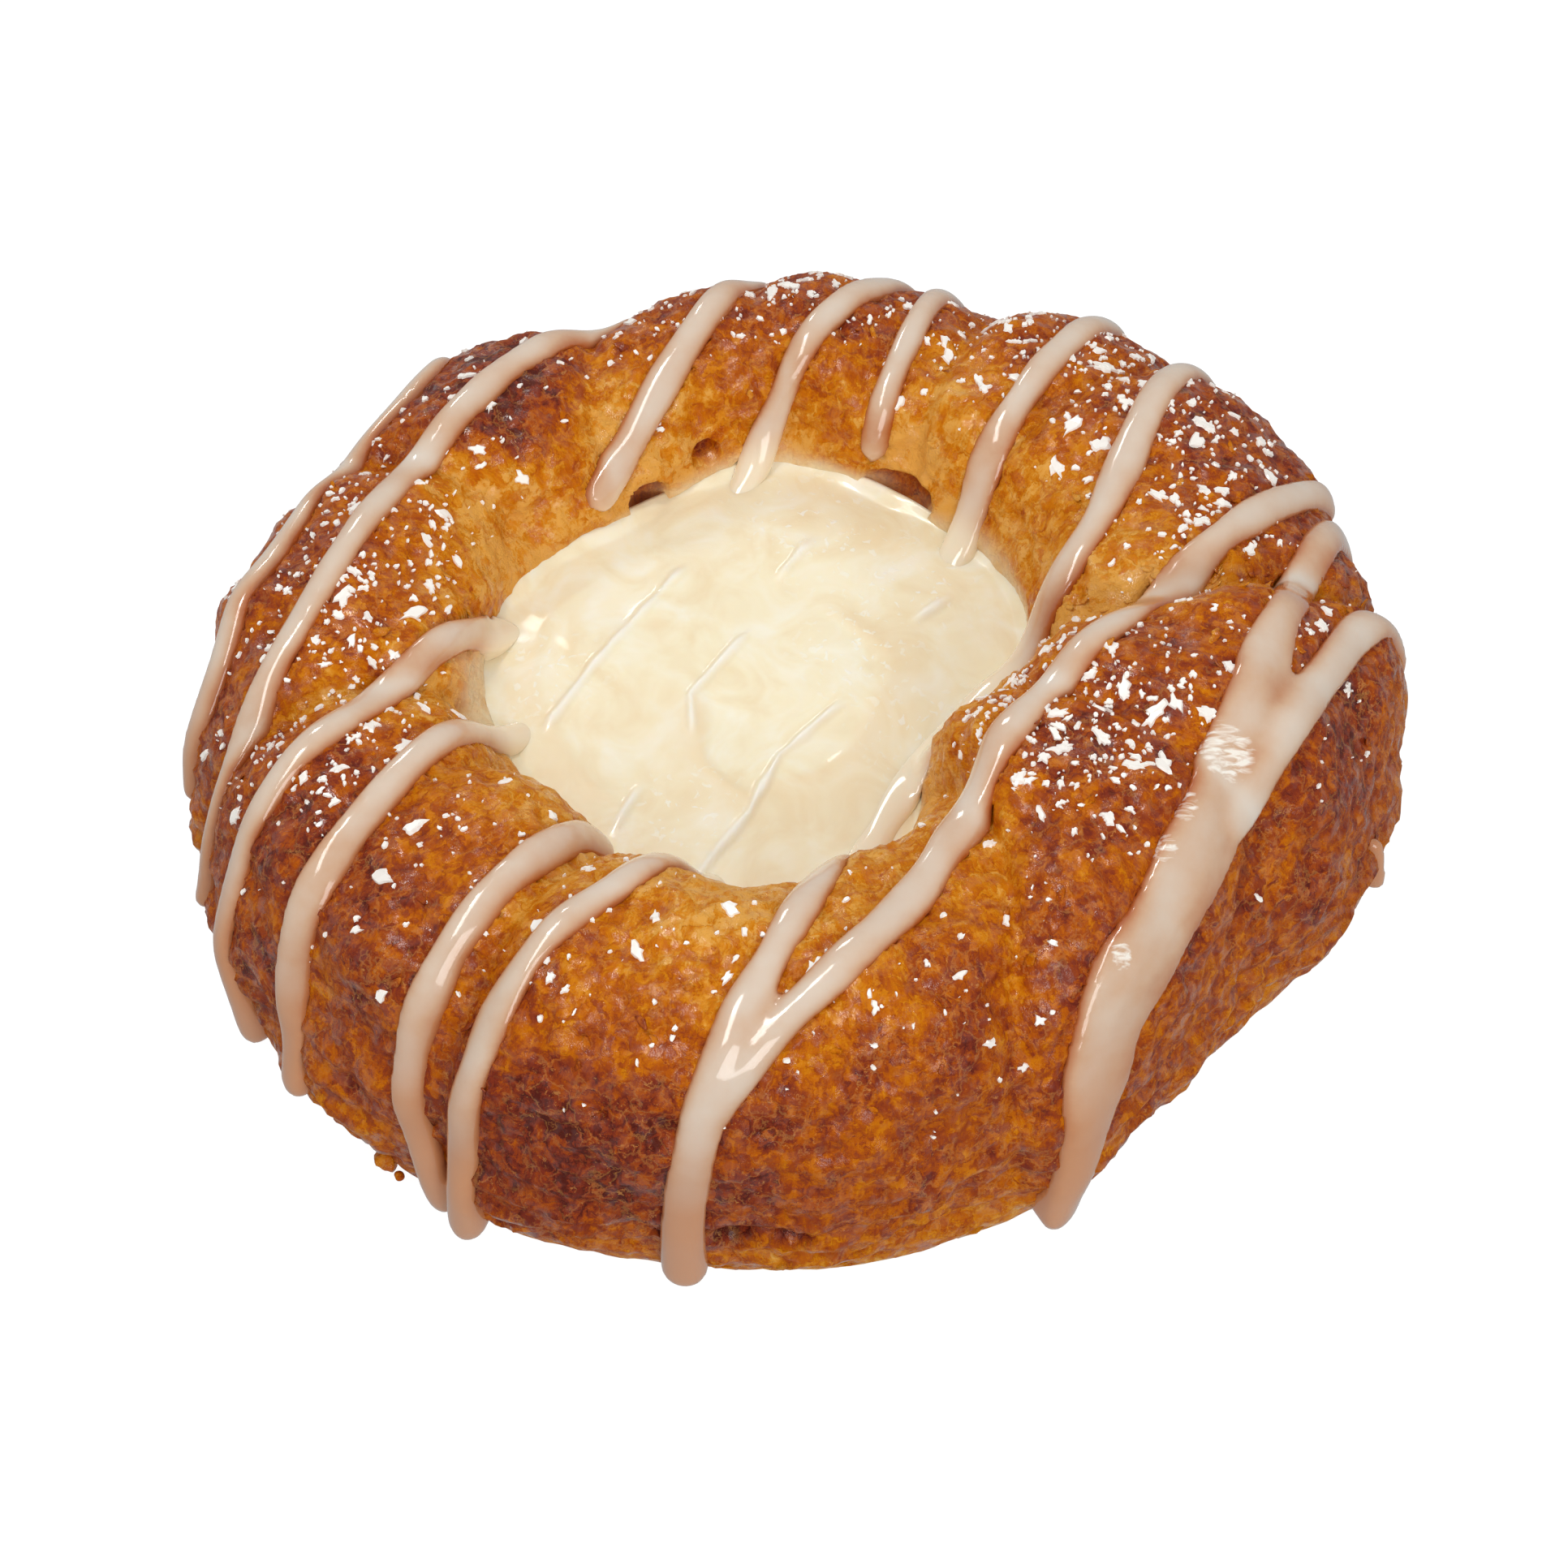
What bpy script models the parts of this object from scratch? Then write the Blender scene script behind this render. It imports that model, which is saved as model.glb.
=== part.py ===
"""A cheese danish: a ring of coiled, twisted laminated dough round a well of sweet cream cheese,
with parallel strokes of icing drizzled across it. Metres, +Z up. The origin is the middle of the flat
base, +X is the side where the coil's end laps over its start, and -Y the side with the broadest crest."""

import math

import bmesh
import bpy
from mathutils import Vector, bvhtree, noise

MM = 0.001

# Driving sizes of the baked ring
OUTER_LONG = 58.5 * MM  # half width along X, before the swells
OUTER_SHORT = 54.0 * MM  # half width along Y
WELL_RADIUS = 27.0 * MM
CREST_HEIGHT = 31.5 * MM
OUTER_BELLY = 11.0 * MM  # height at which the outside is widest
FOOT_TUCK = 3.5 * MM  # how far the foot lies inside the widest point
CHEESE_LEVEL = 20.0 * MM
CHEESE_CROWN = 1.8 * MM
FLOOR = 5.0 * MM  # dough left under the cheese
CREST_SHARE = 0.5  # where the crest lies between the well and the outside
ROUNDNESS = 0.9  # exponent of the section's curve: 1 is an ellipse, less is boxier
TOUCH_GAP = 0.3 * MM
ABOVE = 100.0 * MM  # a height over the whole danish, from which icing falls onto it

# The oven's unevenness: (angle in degrees, swell, spread in degrees)
OUTER_SWELLS = (
    (45, 3.8 * MM, 28),
    (105, -2.0 * MM, 12),
    (175, -0.8 * MM, 18),
    (205, 1.8 * MM, 22),
    (240, 1.6 * MM, 14),
    (290, -1.0 * MM, 15),
    (322, -6.3 * MM, 22),
)
WELL_SWELLS = (
    (95, 4.5 * MM, 22),
    (158, 4.7 * MM, 34),
    (238, -1.5 * MM, 30),
    (332, -12.5 * MM, 40),
)
CREST_SWELLS = (
    (90, 0.4 * MM, 26),
    (150, 0.4 * MM, 20),
    (215, 0.8 * MM, 18),
    (262, 2.5 * MM, 26),
    (332, 4.5 * MM, 38),
)

# Where one turn of the twisted dough meets the next:
# (angle at the crest, lean from well to outside in degrees, depth, half width, lap over the far side)
CREASES = (
    (7, 5, 4.2 * MM, 3.4 * MM, 2.6 * MM),
    (48, -8, 1.4 * MM, 2.6 * MM, 0.6 * MM),
    (67, -2, 2.6 * MM, 4.2 * MM, 0.8 * MM),
    (94, 6, 1.2 * MM, 3.4 * MM, 0.4 * MM),
    (120, -14, 2.2 * MM, 5.0 * MM, -0.8 * MM),
    (149, 9, 2.6 * MM, 4.6 * MM, 0.8 * MM),
    (188, 6, 2.8 * MM, 3.6 * MM, 0.8 * MM),
    (209, 14, 1.3 * MM, 2.6 * MM, 0.4 * MM),
    (233, 2, 2.4 * MM, 3.6 * MM, -0.8 * MM),
    (302, -18, 2.8 * MM, 3.8 * MM, -0.8 * MM),
    (337, -12, 1.6 * MM, 3.4 * MM, 0.6 * MM),
)
LAP_REACH = 9.0 * MM
LUMPS = ((13.0 * MM, 0.9 * MM), (6.0 * MM, 0.45 * MM))  # (wavelength, height) of the crust's blisters
LAMINATION = (3.6 * MM, 0.35 * MM)  # spacing and height of the layers on the outer wall

# Steam pockets between the back wall and the cheese: (angle, height, half width, half depth, half height)
POCKETS = (
    (107, 23.0 * MM, 1.7 * MM, 3.0 * MM, 1.1 * MM),
    (120, 20.6 * MM, 2.3 * MM, 3.2 * MM, 2.0 * MM),
    (70, 20.8 * MM, 4.6 * MM, 3.0 * MM, 1.9 * MM),
)

# The icing went on in parallel strokes. Each has its offsets from the line through the centre at the
# five stations, far right to near left, where it starts and ends along the line, its width, and how low
# its two ends run, all in millimetres. An end that meets another stroke has no run.
DRIZZLE_TURN = math.radians(35)
STATIONS = (50, 25, 0, -25, -50)
STROKES = {
    "a": ((-48, -50.6, -51.0, -47.4, -41), 12, -36, 3.4, 18, 13),
    "b": ((-22, -40.6, -43.6, -39.6, -36.2), 27, -44, 3.6, 20, 10),
    "c": ((-33, -31, -29.4, -28.4, -30.2), 42, 6.5, 4.0, 16, None),
    "c_near": ((-33, -31, -29.4, -28.4, -30.2), -11, -50, 4.0, None, 3.5),
    "d": ((-20.5, -21.4, -19, -20.4, -20.2), 50, -54, 3.8, 17, 9),
    "e": ((-16, -10, -7.6, -3.8, -5.0), 54, -57, 3.6, 16, 1.6),
    "f": ((0, 1.6, 3.8, 5.8, 2.0), 58, -57, 4.0, 14, 1.6),
    "g": ((11, 16.2, 15.6, 19.2, 22.6), 58, -56, 4.4, 17, 1.6),
    "h": ((28.5, 26.3, 24.8, 27.2, 25), 54, -47, 4.2, 19, None),
    "i": ((31.5, 37.8, 45, 46, 42), 50, -30, 6.4, 16, 3.2),
    "j": ((38.5, 42.4, 43.8, 43.8, 43.8), 46, 14, 4.4, 15, None),
}
ICING_HEIGHT = 1.5 * MM
DROP_HEIGHT = 2.7 * MM  # a run stands this proud low on the wall, where it ends in a drop
DROP_SWELL = 1.15  # and is this much wider there
TIP_SHRINK = 0.8
RIDGE_HEIGHT = 0.9 * MM
RIDGE_WIDTH = 3.0 * MM
ICING_STEP = 1.2 * MM
WELL_LENGTH = 40.0 * MM  # how far the well's strokes reach each way from the middle
BEAD_STEPS = 3  # steps between a bead's points
RUN_STEEPNESS = 0.35  # where the crust's normal rises less than this, the icing runs down the wall
RUN_DRIFT = 0.3  # how much of the stroke's own direction a run keeps
ICING_CLEARANCE = 2.6 * MM  # icing on the dough stops this far above the cheese
RIDGE_CLEARANCE = 3.4 * MM
BEAD_ROUNDNESS = 1  # steps in a bead's rounding

# Steps round the ring and along its section
AROUND = 112
CREST_STEPS = 14
BELLY_STEPS = 3
CHEESE_STEPS = 8


def clear_scene():
    for thing in list(bpy.data.objects):
        bpy.data.objects.remove(thing, do_unlink=True)


def turn_between(angle, other):
    """The signed turn in degrees from other to angle."""
    return (angle - other + 180) % 360 - 180


def smooth_step(value, low, high):
    share = min(max((value - low) / (high - low), 0.0), 1.0)
    return share * share * (3 - 2 * share)


def swell(angle, swells):
    return sum(
        height * math.exp(-((turn_between(angle, middle) / spread) ** 2))
        for middle, height, spread in swells
    )


def outer_radius(angle):
    turn = math.radians(angle)
    ellipse = OUTER_LONG * OUTER_SHORT / math.hypot(
        OUTER_SHORT * math.cos(turn), OUTER_LONG * math.sin(turn)
    )
    return ellipse + swell(angle, OUTER_SWELLS)


def well_radius(angle):
    return WELL_RADIUS + swell(angle, WELL_SWELLS)


def crest_height(angle):
    return CREST_HEIGHT + swell(angle, CREST_SWELLS)


def crease_relief(angle, share, radius):
    """The dip where two turns of dough meet, and the rise of the turn that laps over the other."""
    total = 0.0
    outside_fade = 1 - 0.5 * smooth_step(share, 0.8, 1.0)
    for middle, lean, depth, width, lap in CREASES:
        line = middle + lean * (share - CREST_SHARE)
        along = math.radians(turn_between(angle, line)) * radius
        total -= depth * outside_fade * math.exp(-((abs(along) / width) ** 1.3))
        lapping = -along if lap > 0 else along
        if lapping > 0:
            total += abs(lap) * math.exp(-lapping / LAP_REACH) * smooth_step(lapping, 0, 1.6 * MM)
    return total


def lump_relief(point):
    return sum(
        height * noise.noise(point / wavelength) * 2
        for wavelength, height in LUMPS
    )


def lamination_relief(point, angle):
    """Near-level layers that show on the outer wall below the browned crest."""
    spacing, height = LAMINATION
    waver = 1.6 * MM * noise.noise(Vector((angle / 14, 0, 5)))
    fade = 1 - smooth_step(point.z, OUTER_BELLY, 1.7 * OUTER_BELLY)
    return height * fade * math.sin(2 * math.pi * (point.z + waver) / spacing)


def section_profile():
    """(share from well to outside, height) from the foot's edge over the crest to the well's floor."""
    width = OUTER_LONG - WELL_RADIUS
    points = []
    for step in range(BELLY_STEPS):
        turn = math.pi / 2 * (1 - step / BELLY_STEPS)
        points.append((1 - FOOT_TUCK / width * (1 - math.cos(turn)), OUTER_BELLY * (1 - math.sin(turn))))
    for step in range(CREST_STEPS + 1):
        turn = math.pi * step / CREST_STEPS
        across = abs(math.cos(turn)) ** ROUNDNESS
        rise = max(math.sin(turn), 0.0) ** ROUNDNESS
        if turn < math.pi / 2:
            points.append((
                CREST_SHARE + (1 - CREST_SHARE) * across,
                OUTER_BELLY + (CREST_HEIGHT - OUTER_BELLY) * rise,
            ))
        else:
            points.append((
                CREST_SHARE * (1 - across),
                CHEESE_LEVEL + (CREST_HEIGHT - CHEESE_LEVEL) * rise,
            ))
    points.append((0.0, FLOOR))
    return points


def spun(profile):
    """A closed bmesh turned about Z from (radius, height) points whose first and last lie on the axis."""
    mesh = bmesh.new()
    verts = [mesh.verts.new((radius, 0, height)) for radius, height in profile]
    edges = [mesh.edges.new(pair) for pair in zip(verts, verts[1:])]
    bmesh.ops.spin(
        mesh,
        geom=verts + edges,
        cent=(0, 0, 0),
        axis=(0, 0, 1),
        angle=2 * math.pi,
        steps=AROUND,
        use_merge=True,
    )
    bmesh.ops.remove_doubles(mesh, verts=mesh.verts, dist=1e-6)
    bmesh.ops.recalc_face_normals(mesh, faces=mesh.faces)
    return mesh


def shape_ring(mesh):
    """Moves a turned ring's points to the uneven outline, well and crest, then adds the crust's relief."""
    stations = {}
    for vert in mesh.verts:
        angle = math.degrees(math.atan2(vert.co.y, vert.co.x)) % 360
        nominal = math.hypot(vert.co.x, vert.co.y)
        share = (nominal - WELL_RADIUS) / (OUTER_LONG - WELL_RADIUS)
        outer, well = outer_radius(angle), well_radius(angle)
        radius = well + share * (outer - well) if share > 0 else nominal / WELL_RADIUS * well
        base = OUTER_BELLY if share >= CREST_SHARE else CHEESE_LEVEL
        height = vert.co.z
        if height > base:
            height = base + (height - base) * (crest_height(angle) - base) / (CREST_HEIGHT - base)
        turn = math.radians(angle)
        vert.co = (radius * math.cos(turn), radius * math.sin(turn), height)
        stations[vert] = (angle, share, radius)
    mesh.normal_update()
    moves = []
    for vert in mesh.verts:
        angle, share, radius = stations[vert]
        inside = share < CREST_SHARE
        keep = smooth_step(vert.co.z, CHEESE_LEVEL, CHEESE_LEVEL + 5 * MM) if inside else (
            smooth_step(vert.co.z, 1 * MM, 7 * MM)
        )
        relief = crease_relief(angle, share, radius) + lump_relief(vert.co)
        if not inside:
            relief += lamination_relief(vert.co, angle)
        moves.append((vert, vert.normal * relief * keep))
    for vert, move in moves:
        vert.co += move


def material(name, colour, roughness):
    made = bpy.data.materials.new(name)
    made.use_nodes = True
    shader = made.node_tree.nodes["Principled BSDF"]
    shader.inputs["Base Color"].default_value = (*colour, 1)
    shader.inputs["Roughness"].default_value = roughness
    shader.inputs["Metallic"].default_value = 0.0
    return made


def shown(name, mesh, finish):
    """The bmesh as a named, smooth-shaded object."""
    data = bpy.data.meshes.new(name)
    mesh.to_mesh(data)
    mesh.free()
    data.materials.append(finish)
    data.shade_smooth()
    made = bpy.data.objects.new(name, data)
    bpy.context.collection.objects.link(made)
    return made


def pocket_cutters():
    """Ellipsoids that open the steam pockets where the cheese shrank from the back wall."""
    folder = bpy.data.collections.new("pocket_cutters")
    bpy.context.scene.collection.children.link(folder)
    for number, (angle, height, half_width, half_depth, half_height) in enumerate(POCKETS, 1):
        turn = math.radians(angle)
        mesh = bmesh.new()
        bmesh.ops.create_icosphere(mesh, subdivisions=2, radius=1.0)
        for vert in mesh.verts:
            vert.co = Vector((vert.co.x * half_depth, vert.co.y * half_width, vert.co.z * half_height))
        data = bpy.data.meshes.new(f"pocket_{number}")
        mesh.to_mesh(data)
        mesh.free()
        cutter = bpy.data.objects.new(f"pocket_{number}", data)
        radius = well_radius(angle)
        cutter.location = (radius * math.cos(turn), radius * math.sin(turn), height)
        cutter.rotation_euler = (0, 0, turn)
        cutter.hide_render = True
        cutter.display_type = "WIRE"
        folder.objects.link(cutter)
    return folder


def stroke_offset(offsets, along):
    """A stroke's offset this far along it: a smooth curve through its offsets at the stations."""
    gap = STATIONS[0] - STATIONS[1]
    place = min(max((STATIONS[0] - along) / gap, 0.0), len(offsets) - 1.001)
    index = int(place)
    share = place - index
    before, first, second, after = (
        offsets[min(max(index + shift, 0), len(offsets) - 1)] for shift in (-1, 0, 1, 2)
    )
    slope, bend = second - before, 2 * before - 5 * first + 4 * second - after
    turn = 3 * first - before - 3 * second + after
    return first + share * (slope + share * (bend + share * turn)) / 2


def stroke_place(stroke, along):
    """Plan position of a stroke's middle, this far along it."""
    across = stroke_offset(stroke[0], along / MM) * MM
    return (
        across * math.cos(DRIZZLE_TURN) + along * math.sin(DRIZZLE_TURN),
        -across * math.sin(DRIZZLE_TURN) + along * math.cos(DRIZZLE_TURN),
    )


def run_down(tree, start, heading, lowest):
    """Points where the icing runs on down the outer wall, from start to the height lowest."""
    point, points = start, []
    while point.z > lowest and len(points) < 60:
        _, normal, _, _ = tree.find_nearest(point)
        pull = heading * RUN_DRIFT + Vector((0, 0, -1))
        pull -= normal * pull.dot(normal)
        point = tree.find_nearest(point + pull.normalized() * ICING_STEP)[0]
        points.append(point)
    return points


def stroke_route(tree, stroke):
    """The stroke's points on the crust from its far run, over the top, to its near run, well included."""
    start, end = stroke[1] * MM, stroke[2] * MM
    count = round((start - end) / ICING_STEP)
    top = []
    for step in range(count + 1):
        x, y = stroke_place(stroke, start + (end - start) * step / count)
        place, normal, _, _ = tree.ray_cast(Vector((x, y, ABOVE)), Vector((0, 0, -1)))
        in_well = math.hypot(x, y) < WELL_RADIUS
        if place and (in_well or (normal.z > RUN_STEEPNESS and place.z > OUTER_BELLY)):
            top.append(place)
    heading = Vector((-math.sin(DRIZZLE_TURN), -math.cos(DRIZZLE_TURN), 0))
    far_low, near_low = stroke[4], stroke[5]
    far_run = run_down(tree, top[0], -heading, far_low * MM)[::-1] if far_low else []
    near_run = run_down(tree, top[-1], heading, near_low * MM) if near_low else []
    return far_run + top + near_run


def runs_of(points, wanted):
    """The stretches of points that all pass the test, thinned to a bead's points."""
    stretches, current = [], []
    for point in points:
        if wanted(point):
            current.append(point)
        else:
            stretches.append(current)
            current = []
    stretches.append(current)
    long_enough = [stretch for stretch in stretches if len(stretch) > 2 * BEAD_STEPS]
    return [stretch[:-1:BEAD_STEPS] + stretch[-1:] for stretch in long_enough]


def bead(name, tree, points, width, height, folder):
    """A bead of icing along the points: a tube sunk in the crust so that its cap has this width and height."""
    tube = (width * width / 4 + height * height) / (2 * height)
    curve = bpy.data.curves.new(name, "CURVE")
    curve.dimensions = "3D"
    curve.bevel_depth = tube
    curve.bevel_resolution = BEAD_ROUNDNESS
    curve.use_fill_caps = True
    line = curve.splines.new("POLY")
    line.points.add(len(points) - 1)
    for place, point in zip(line.points, points):
        _, normal, _, _ = tree.find_nearest(point)
        drop = 1 - smooth_step(point.z, 0.3 * OUTER_BELLY, 1.2 * OUTER_BELLY)
        place.radius = 1 + (DROP_SWELL - 1) * drop
        rise = height + (DROP_HEIGHT - height) * drop
        place.co = (*(point - normal * (tube * place.radius - rise)), 1)
    for place in (line.points[0], line.points[-1]):
        place.radius *= TIP_SHRINK
    shaped = bpy.data.objects.new(name + "_line", curve)
    bpy.context.scene.collection.objects.link(shaped)
    graph = bpy.context.evaluated_depsgraph_get()
    data = bpy.data.meshes.new_from_object(shaped.evaluated_get(graph))
    mesh = bmesh.new()
    mesh.from_mesh(data)
    bmesh.ops.remove_doubles(mesh, verts=mesh.verts, dist=1e-6)
    bmesh.ops.recalc_face_normals(mesh, faces=mesh.faces)
    mesh.to_mesh(data)
    mesh.free()
    bpy.data.objects.remove(shaped, do_unlink=True)
    folder.objects.link(bpy.data.objects.new(name, data))


def fuse(target, folder, operation):
    """One Boolean with the whole collection, applied."""
    step = target.modifiers.new(folder.name, "BOOLEAN")
    step.operation = operation
    step.operand_type = "COLLECTION"
    step.collection = folder
    step.solver = "EXACT"
    graph = bpy.context.evaluated_depsgraph_get()
    data = bpy.data.meshes.new_from_object(target.evaluated_get(graph))
    target.modifiers.remove(step)
    target.data = data
    data.shade_smooth()


def remove_folder(folder):
    for thing in list(folder.objects):
        bpy.data.objects.remove(thing, do_unlink=True)
    bpy.data.collections.remove(folder)


def tree_of(thing):
    mesh = bmesh.new()
    mesh.from_mesh(thing.data)
    tree = bvhtree.BVHTree.FromBMesh(mesh)
    mesh.free()
    return tree


def dough_ring():
    crust = material("golden_brown_crust", (0.42, 0.15, 0.03), 0.35)
    width = OUTER_LONG - WELL_RADIUS
    skin = [(WELL_RADIUS + share * width, height) for share, height in section_profile()]
    mesh = spun([(0, 0), *skin, (0, FLOOR)])
    shape_ring(mesh)
    return shown("dough_ring", mesh, crust)


def cheese_filling():
    """The cheese fills the well to just clear of the dough, with a crowned top."""
    finish = material("sweet_cream_cheese", (0.90, 0.78, 0.55), 0.3)
    rim = WELL_RADIUS - TOUCH_GAP
    top = []
    for step in range(1, CHEESE_STEPS + 1):
        share = step / CHEESE_STEPS
        top.append((rim * share, CHEESE_LEVEL + CHEESE_CROWN * (1 - share * share)))
    mesh = spun([(0, CHEESE_LEVEL + CHEESE_CROWN), *top, (rim, FLOOR + TOUCH_GAP), (0, FLOOR + TOUCH_GAP)])
    for vert in mesh.verts:
        angle = math.degrees(math.atan2(vert.co.y, vert.co.x)) % 360
        share = math.hypot(vert.co.x, vert.co.y) / rim
        radius = share * (well_radius(angle) - TOUCH_GAP)
        wave = 0.5 * MM * (1 - share ** 4) * noise.noise(vert.co / (12 * MM)) * 2
        lift = wave if vert.co.z > CHEESE_LEVEL - 1 * MM else 0.0
        turn = math.radians(angle)
        vert.co = (radius * math.cos(turn), radius * math.sin(turn), vert.co.z + lift)
    return shown("cheese_filling", mesh, finish)


def drizzle(ring, cheese):
    """Fuses the icing strokes to the dough, and the ridges that they leave on the cheese to the cheese."""
    ring_tree, cheese_tree = tree_of(ring), tree_of(cheese)
    icing = bpy.data.collections.new("icing_strokes")
    ridges = bpy.data.collections.new("cheese_ridges")
    for folder in (icing, ridges):
        bpy.context.scene.collection.children.link(folder)

    def in_well(point, margin):
        angle = math.degrees(math.atan2(point.y, point.x)) % 360
        return math.hypot(point.x, point.y) < well_radius(angle) - margin

    def clear_of_cheese(point):
        outside = not in_well(point, -12 * MM)
        return outside or (not in_well(point, 0) and point.z > CHEESE_LEVEL + ICING_CLEARANCE)

    def on_cheese(point):
        return in_well(point, RIDGE_CLEARANCE)

    for name, stroke in STROKES.items():
        width = stroke[3] * MM
        route = stroke_route(ring_tree, stroke)
        for number, stretch in enumerate(runs_of(route, clear_of_cheese), 1):
            bead(f"icing_{name}{number}", ring_tree, stretch, width, ICING_HEIGHT, icing)
        steps = round(WELL_LENGTH / ICING_STEP)
        places = [stroke_place(stroke, step * ICING_STEP) for step in range(steps, -steps, -1)]
        over_well = [Vector((*place, ABOVE)) for place in places]
        for number, stretch in enumerate(runs_of(over_well, on_cheese), 1):
            laid = [cheese_tree.ray_cast(point, Vector((0, 0, -1)))[0] for point in stretch]
            bead(f"ridge_{name}{number}", cheese_tree, laid, RIDGE_WIDTH, RIDGE_HEIGHT, ridges)
    fuse(ring, icing, "UNION")
    fuse(cheese, ridges, "UNION")
    remove_folder(icing)
    remove_folder(ridges)


def main():
    clear_scene()
    ring = dough_ring()
    cheese = cheese_filling()
    pockets = pocket_cutters()
    fuse(ring, pockets, "DIFFERENCE")
    fuse(cheese, pockets, "DIFFERENCE")
    remove_folder(pockets)
    drizzle(ring, cheese)


main()
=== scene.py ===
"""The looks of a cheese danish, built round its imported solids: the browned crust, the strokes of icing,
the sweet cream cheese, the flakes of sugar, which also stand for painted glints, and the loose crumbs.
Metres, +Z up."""

import math
import random

import bmesh
import bpy
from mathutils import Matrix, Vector, bvhtree, noise


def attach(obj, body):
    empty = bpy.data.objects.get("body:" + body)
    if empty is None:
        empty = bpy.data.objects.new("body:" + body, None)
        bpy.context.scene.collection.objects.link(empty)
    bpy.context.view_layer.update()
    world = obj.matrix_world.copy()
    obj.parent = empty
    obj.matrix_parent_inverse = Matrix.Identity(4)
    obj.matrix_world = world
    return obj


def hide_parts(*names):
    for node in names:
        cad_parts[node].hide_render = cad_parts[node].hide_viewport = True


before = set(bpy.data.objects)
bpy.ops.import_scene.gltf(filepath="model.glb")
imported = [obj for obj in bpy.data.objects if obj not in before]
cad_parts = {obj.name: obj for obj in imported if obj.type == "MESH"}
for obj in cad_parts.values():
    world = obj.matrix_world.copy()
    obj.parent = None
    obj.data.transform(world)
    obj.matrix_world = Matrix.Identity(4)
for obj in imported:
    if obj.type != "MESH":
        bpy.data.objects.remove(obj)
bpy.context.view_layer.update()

# The dough ring is a rope of laminated butter dough, twisted, coiled and proved, then egg-washed and baked.
# Its turns meet in creases, the oven browned its crests most, and the coil's end laps over its start at +X.
# The baked layers show as blisters and torn flakes on top, and as open, level layers near the foot.
MM = 0.001
OUTER_LONG = 58.5 * MM  # half width along X, before the swells
OUTER_SHORT = 54.0 * MM  # half width along Y
WELL_RADIUS = 27.0 * MM
CREST_HEIGHT = 31.5 * MM
OUTER_BELLY = 11.0 * MM  # height at which the outside is widest
FOOT_TUCK = 3.5 * MM
CHEESE_LEVEL = 20.0 * MM
FLOOR = 5.0 * MM  # dough left under the cheese
CREST_SHARE = 0.5  # where the crest lies between the well and the outside
ROUNDNESS = 0.9  # exponent of the section's curve
# (angle in degrees, swell, spread in degrees)
OUTER_SWELLS = (
    (45, 3.8 * MM, 28),
    (105, -2.0 * MM, 12),
    (175, -0.8 * MM, 18),
    (205, 1.8 * MM, 22),
    (240, 1.6 * MM, 14),
    (290, -1.0 * MM, 15),
    (322, -6.3 * MM, 22),
)
WELL_SWELLS = (
    (95, 4.5 * MM, 22),
    (158, 4.7 * MM, 34),
    (238, -1.5 * MM, 30),
    (332, -12.5 * MM, 40),
)
CREST_SWELLS = (
    (90, 0.4 * MM, 26),
    (150, 0.4 * MM, 20),
    (215, 0.8 * MM, 18),
    (262, 2.5 * MM, 26),
    (332, 4.5 * MM, 38),
)
# (angle at the crest, lean from well to outside in degrees, depth, half width, lap over the far side)
CREASES = (
    (7, 5, 4.2 * MM, 3.4 * MM, 2.6 * MM),
    (48, -8, 1.4 * MM, 2.6 * MM, 0.6 * MM),
    (67, -2, 2.6 * MM, 4.2 * MM, 0.8 * MM),
    (94, 6, 1.2 * MM, 3.4 * MM, 0.4 * MM),
    (120, -14, 2.2 * MM, 5.0 * MM, -0.8 * MM),
    (149, 9, 2.6 * MM, 4.6 * MM, 0.8 * MM),
    (188, 6, 2.8 * MM, 3.6 * MM, 0.8 * MM),
    (209, 14, 1.3 * MM, 2.6 * MM, 0.4 * MM),
    (233, 2, 2.4 * MM, 3.6 * MM, -0.8 * MM),
    (302, -18, 2.8 * MM, 3.8 * MM, -0.8 * MM),
    (337, -12, 1.6 * MM, 3.4 * MM, 0.6 * MM),
)
LAP_REACH = 9.0 * MM
LAP_EDGE = 1.6 * MM
CREASE_SHARPNESS = 1.3  # exponent of a crease's section
CREASE_FADE = 0.5  # how much of a crease is lost on the outer wall
LUMPS = ((13.0 * MM, 0.9 * MM), (6.0 * MM, 0.45 * MM))  # (wavelength, height) of the blisters
LAMINATION = (3.6 * MM, 0.35 * MM, 1.6 * MM)  # spacing, height and waver of the layers on the outer wall
FLAKES_OF_CRUST = ((2.9 * MM, 0.38 * MM), (1.3 * MM, 0.17 * MM))  # sharp-edged flaky relief
FLAKE_SHARPNESS = 2.4  # how narrow its ridges are
# Pores between the open layers: width, depth, how high up the wall they go, and the size of their patches
OPEN_LAYERS = (2.2 * MM, 0.8 * MM, 9.5 * MM, 9.0 * MM)
PORE_FLATNESS = 2.4  # how much wider than high they are
WELL_FADE = 5.0 * MM  # height over the cheese in which the relief fades in
FOOT_FADE = (1.0 * MM, 7.0 * MM)  # heights over the foot between which it fades in
# Steam pockets at the cheese's back edge, and in the outer wall low in front:
# (angle, height, half width, half depth, half height, on the outside)
POCKETS = (
    (107, 23.4 * MM, 1.7 * MM, 3.0 * MM, 1.2 * MM, False),
    (120, 21.2 * MM, 2.3 * MM, 3.2 * MM, 2.3 * MM, False),
    (70, 21.2 * MM, 4.6 * MM, 3.0 * MM, 2.2 * MM, False),
    (263.8, 9.0 * MM, 2.1 * MM, 2.6 * MM, 1.3 * MM, True),
    (269.6, 9.4 * MM, 1.8 * MM, 2.4 * MM, 1.0 * MM, True),
    (257.0, 8.4 * MM, 1.1 * MM, 2.0 * MM, 0.8 * MM, True),
    (281.0, 7.6 * MM, 1.5 * MM, 2.0 * MM, 0.8 * MM, True),
)
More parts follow.
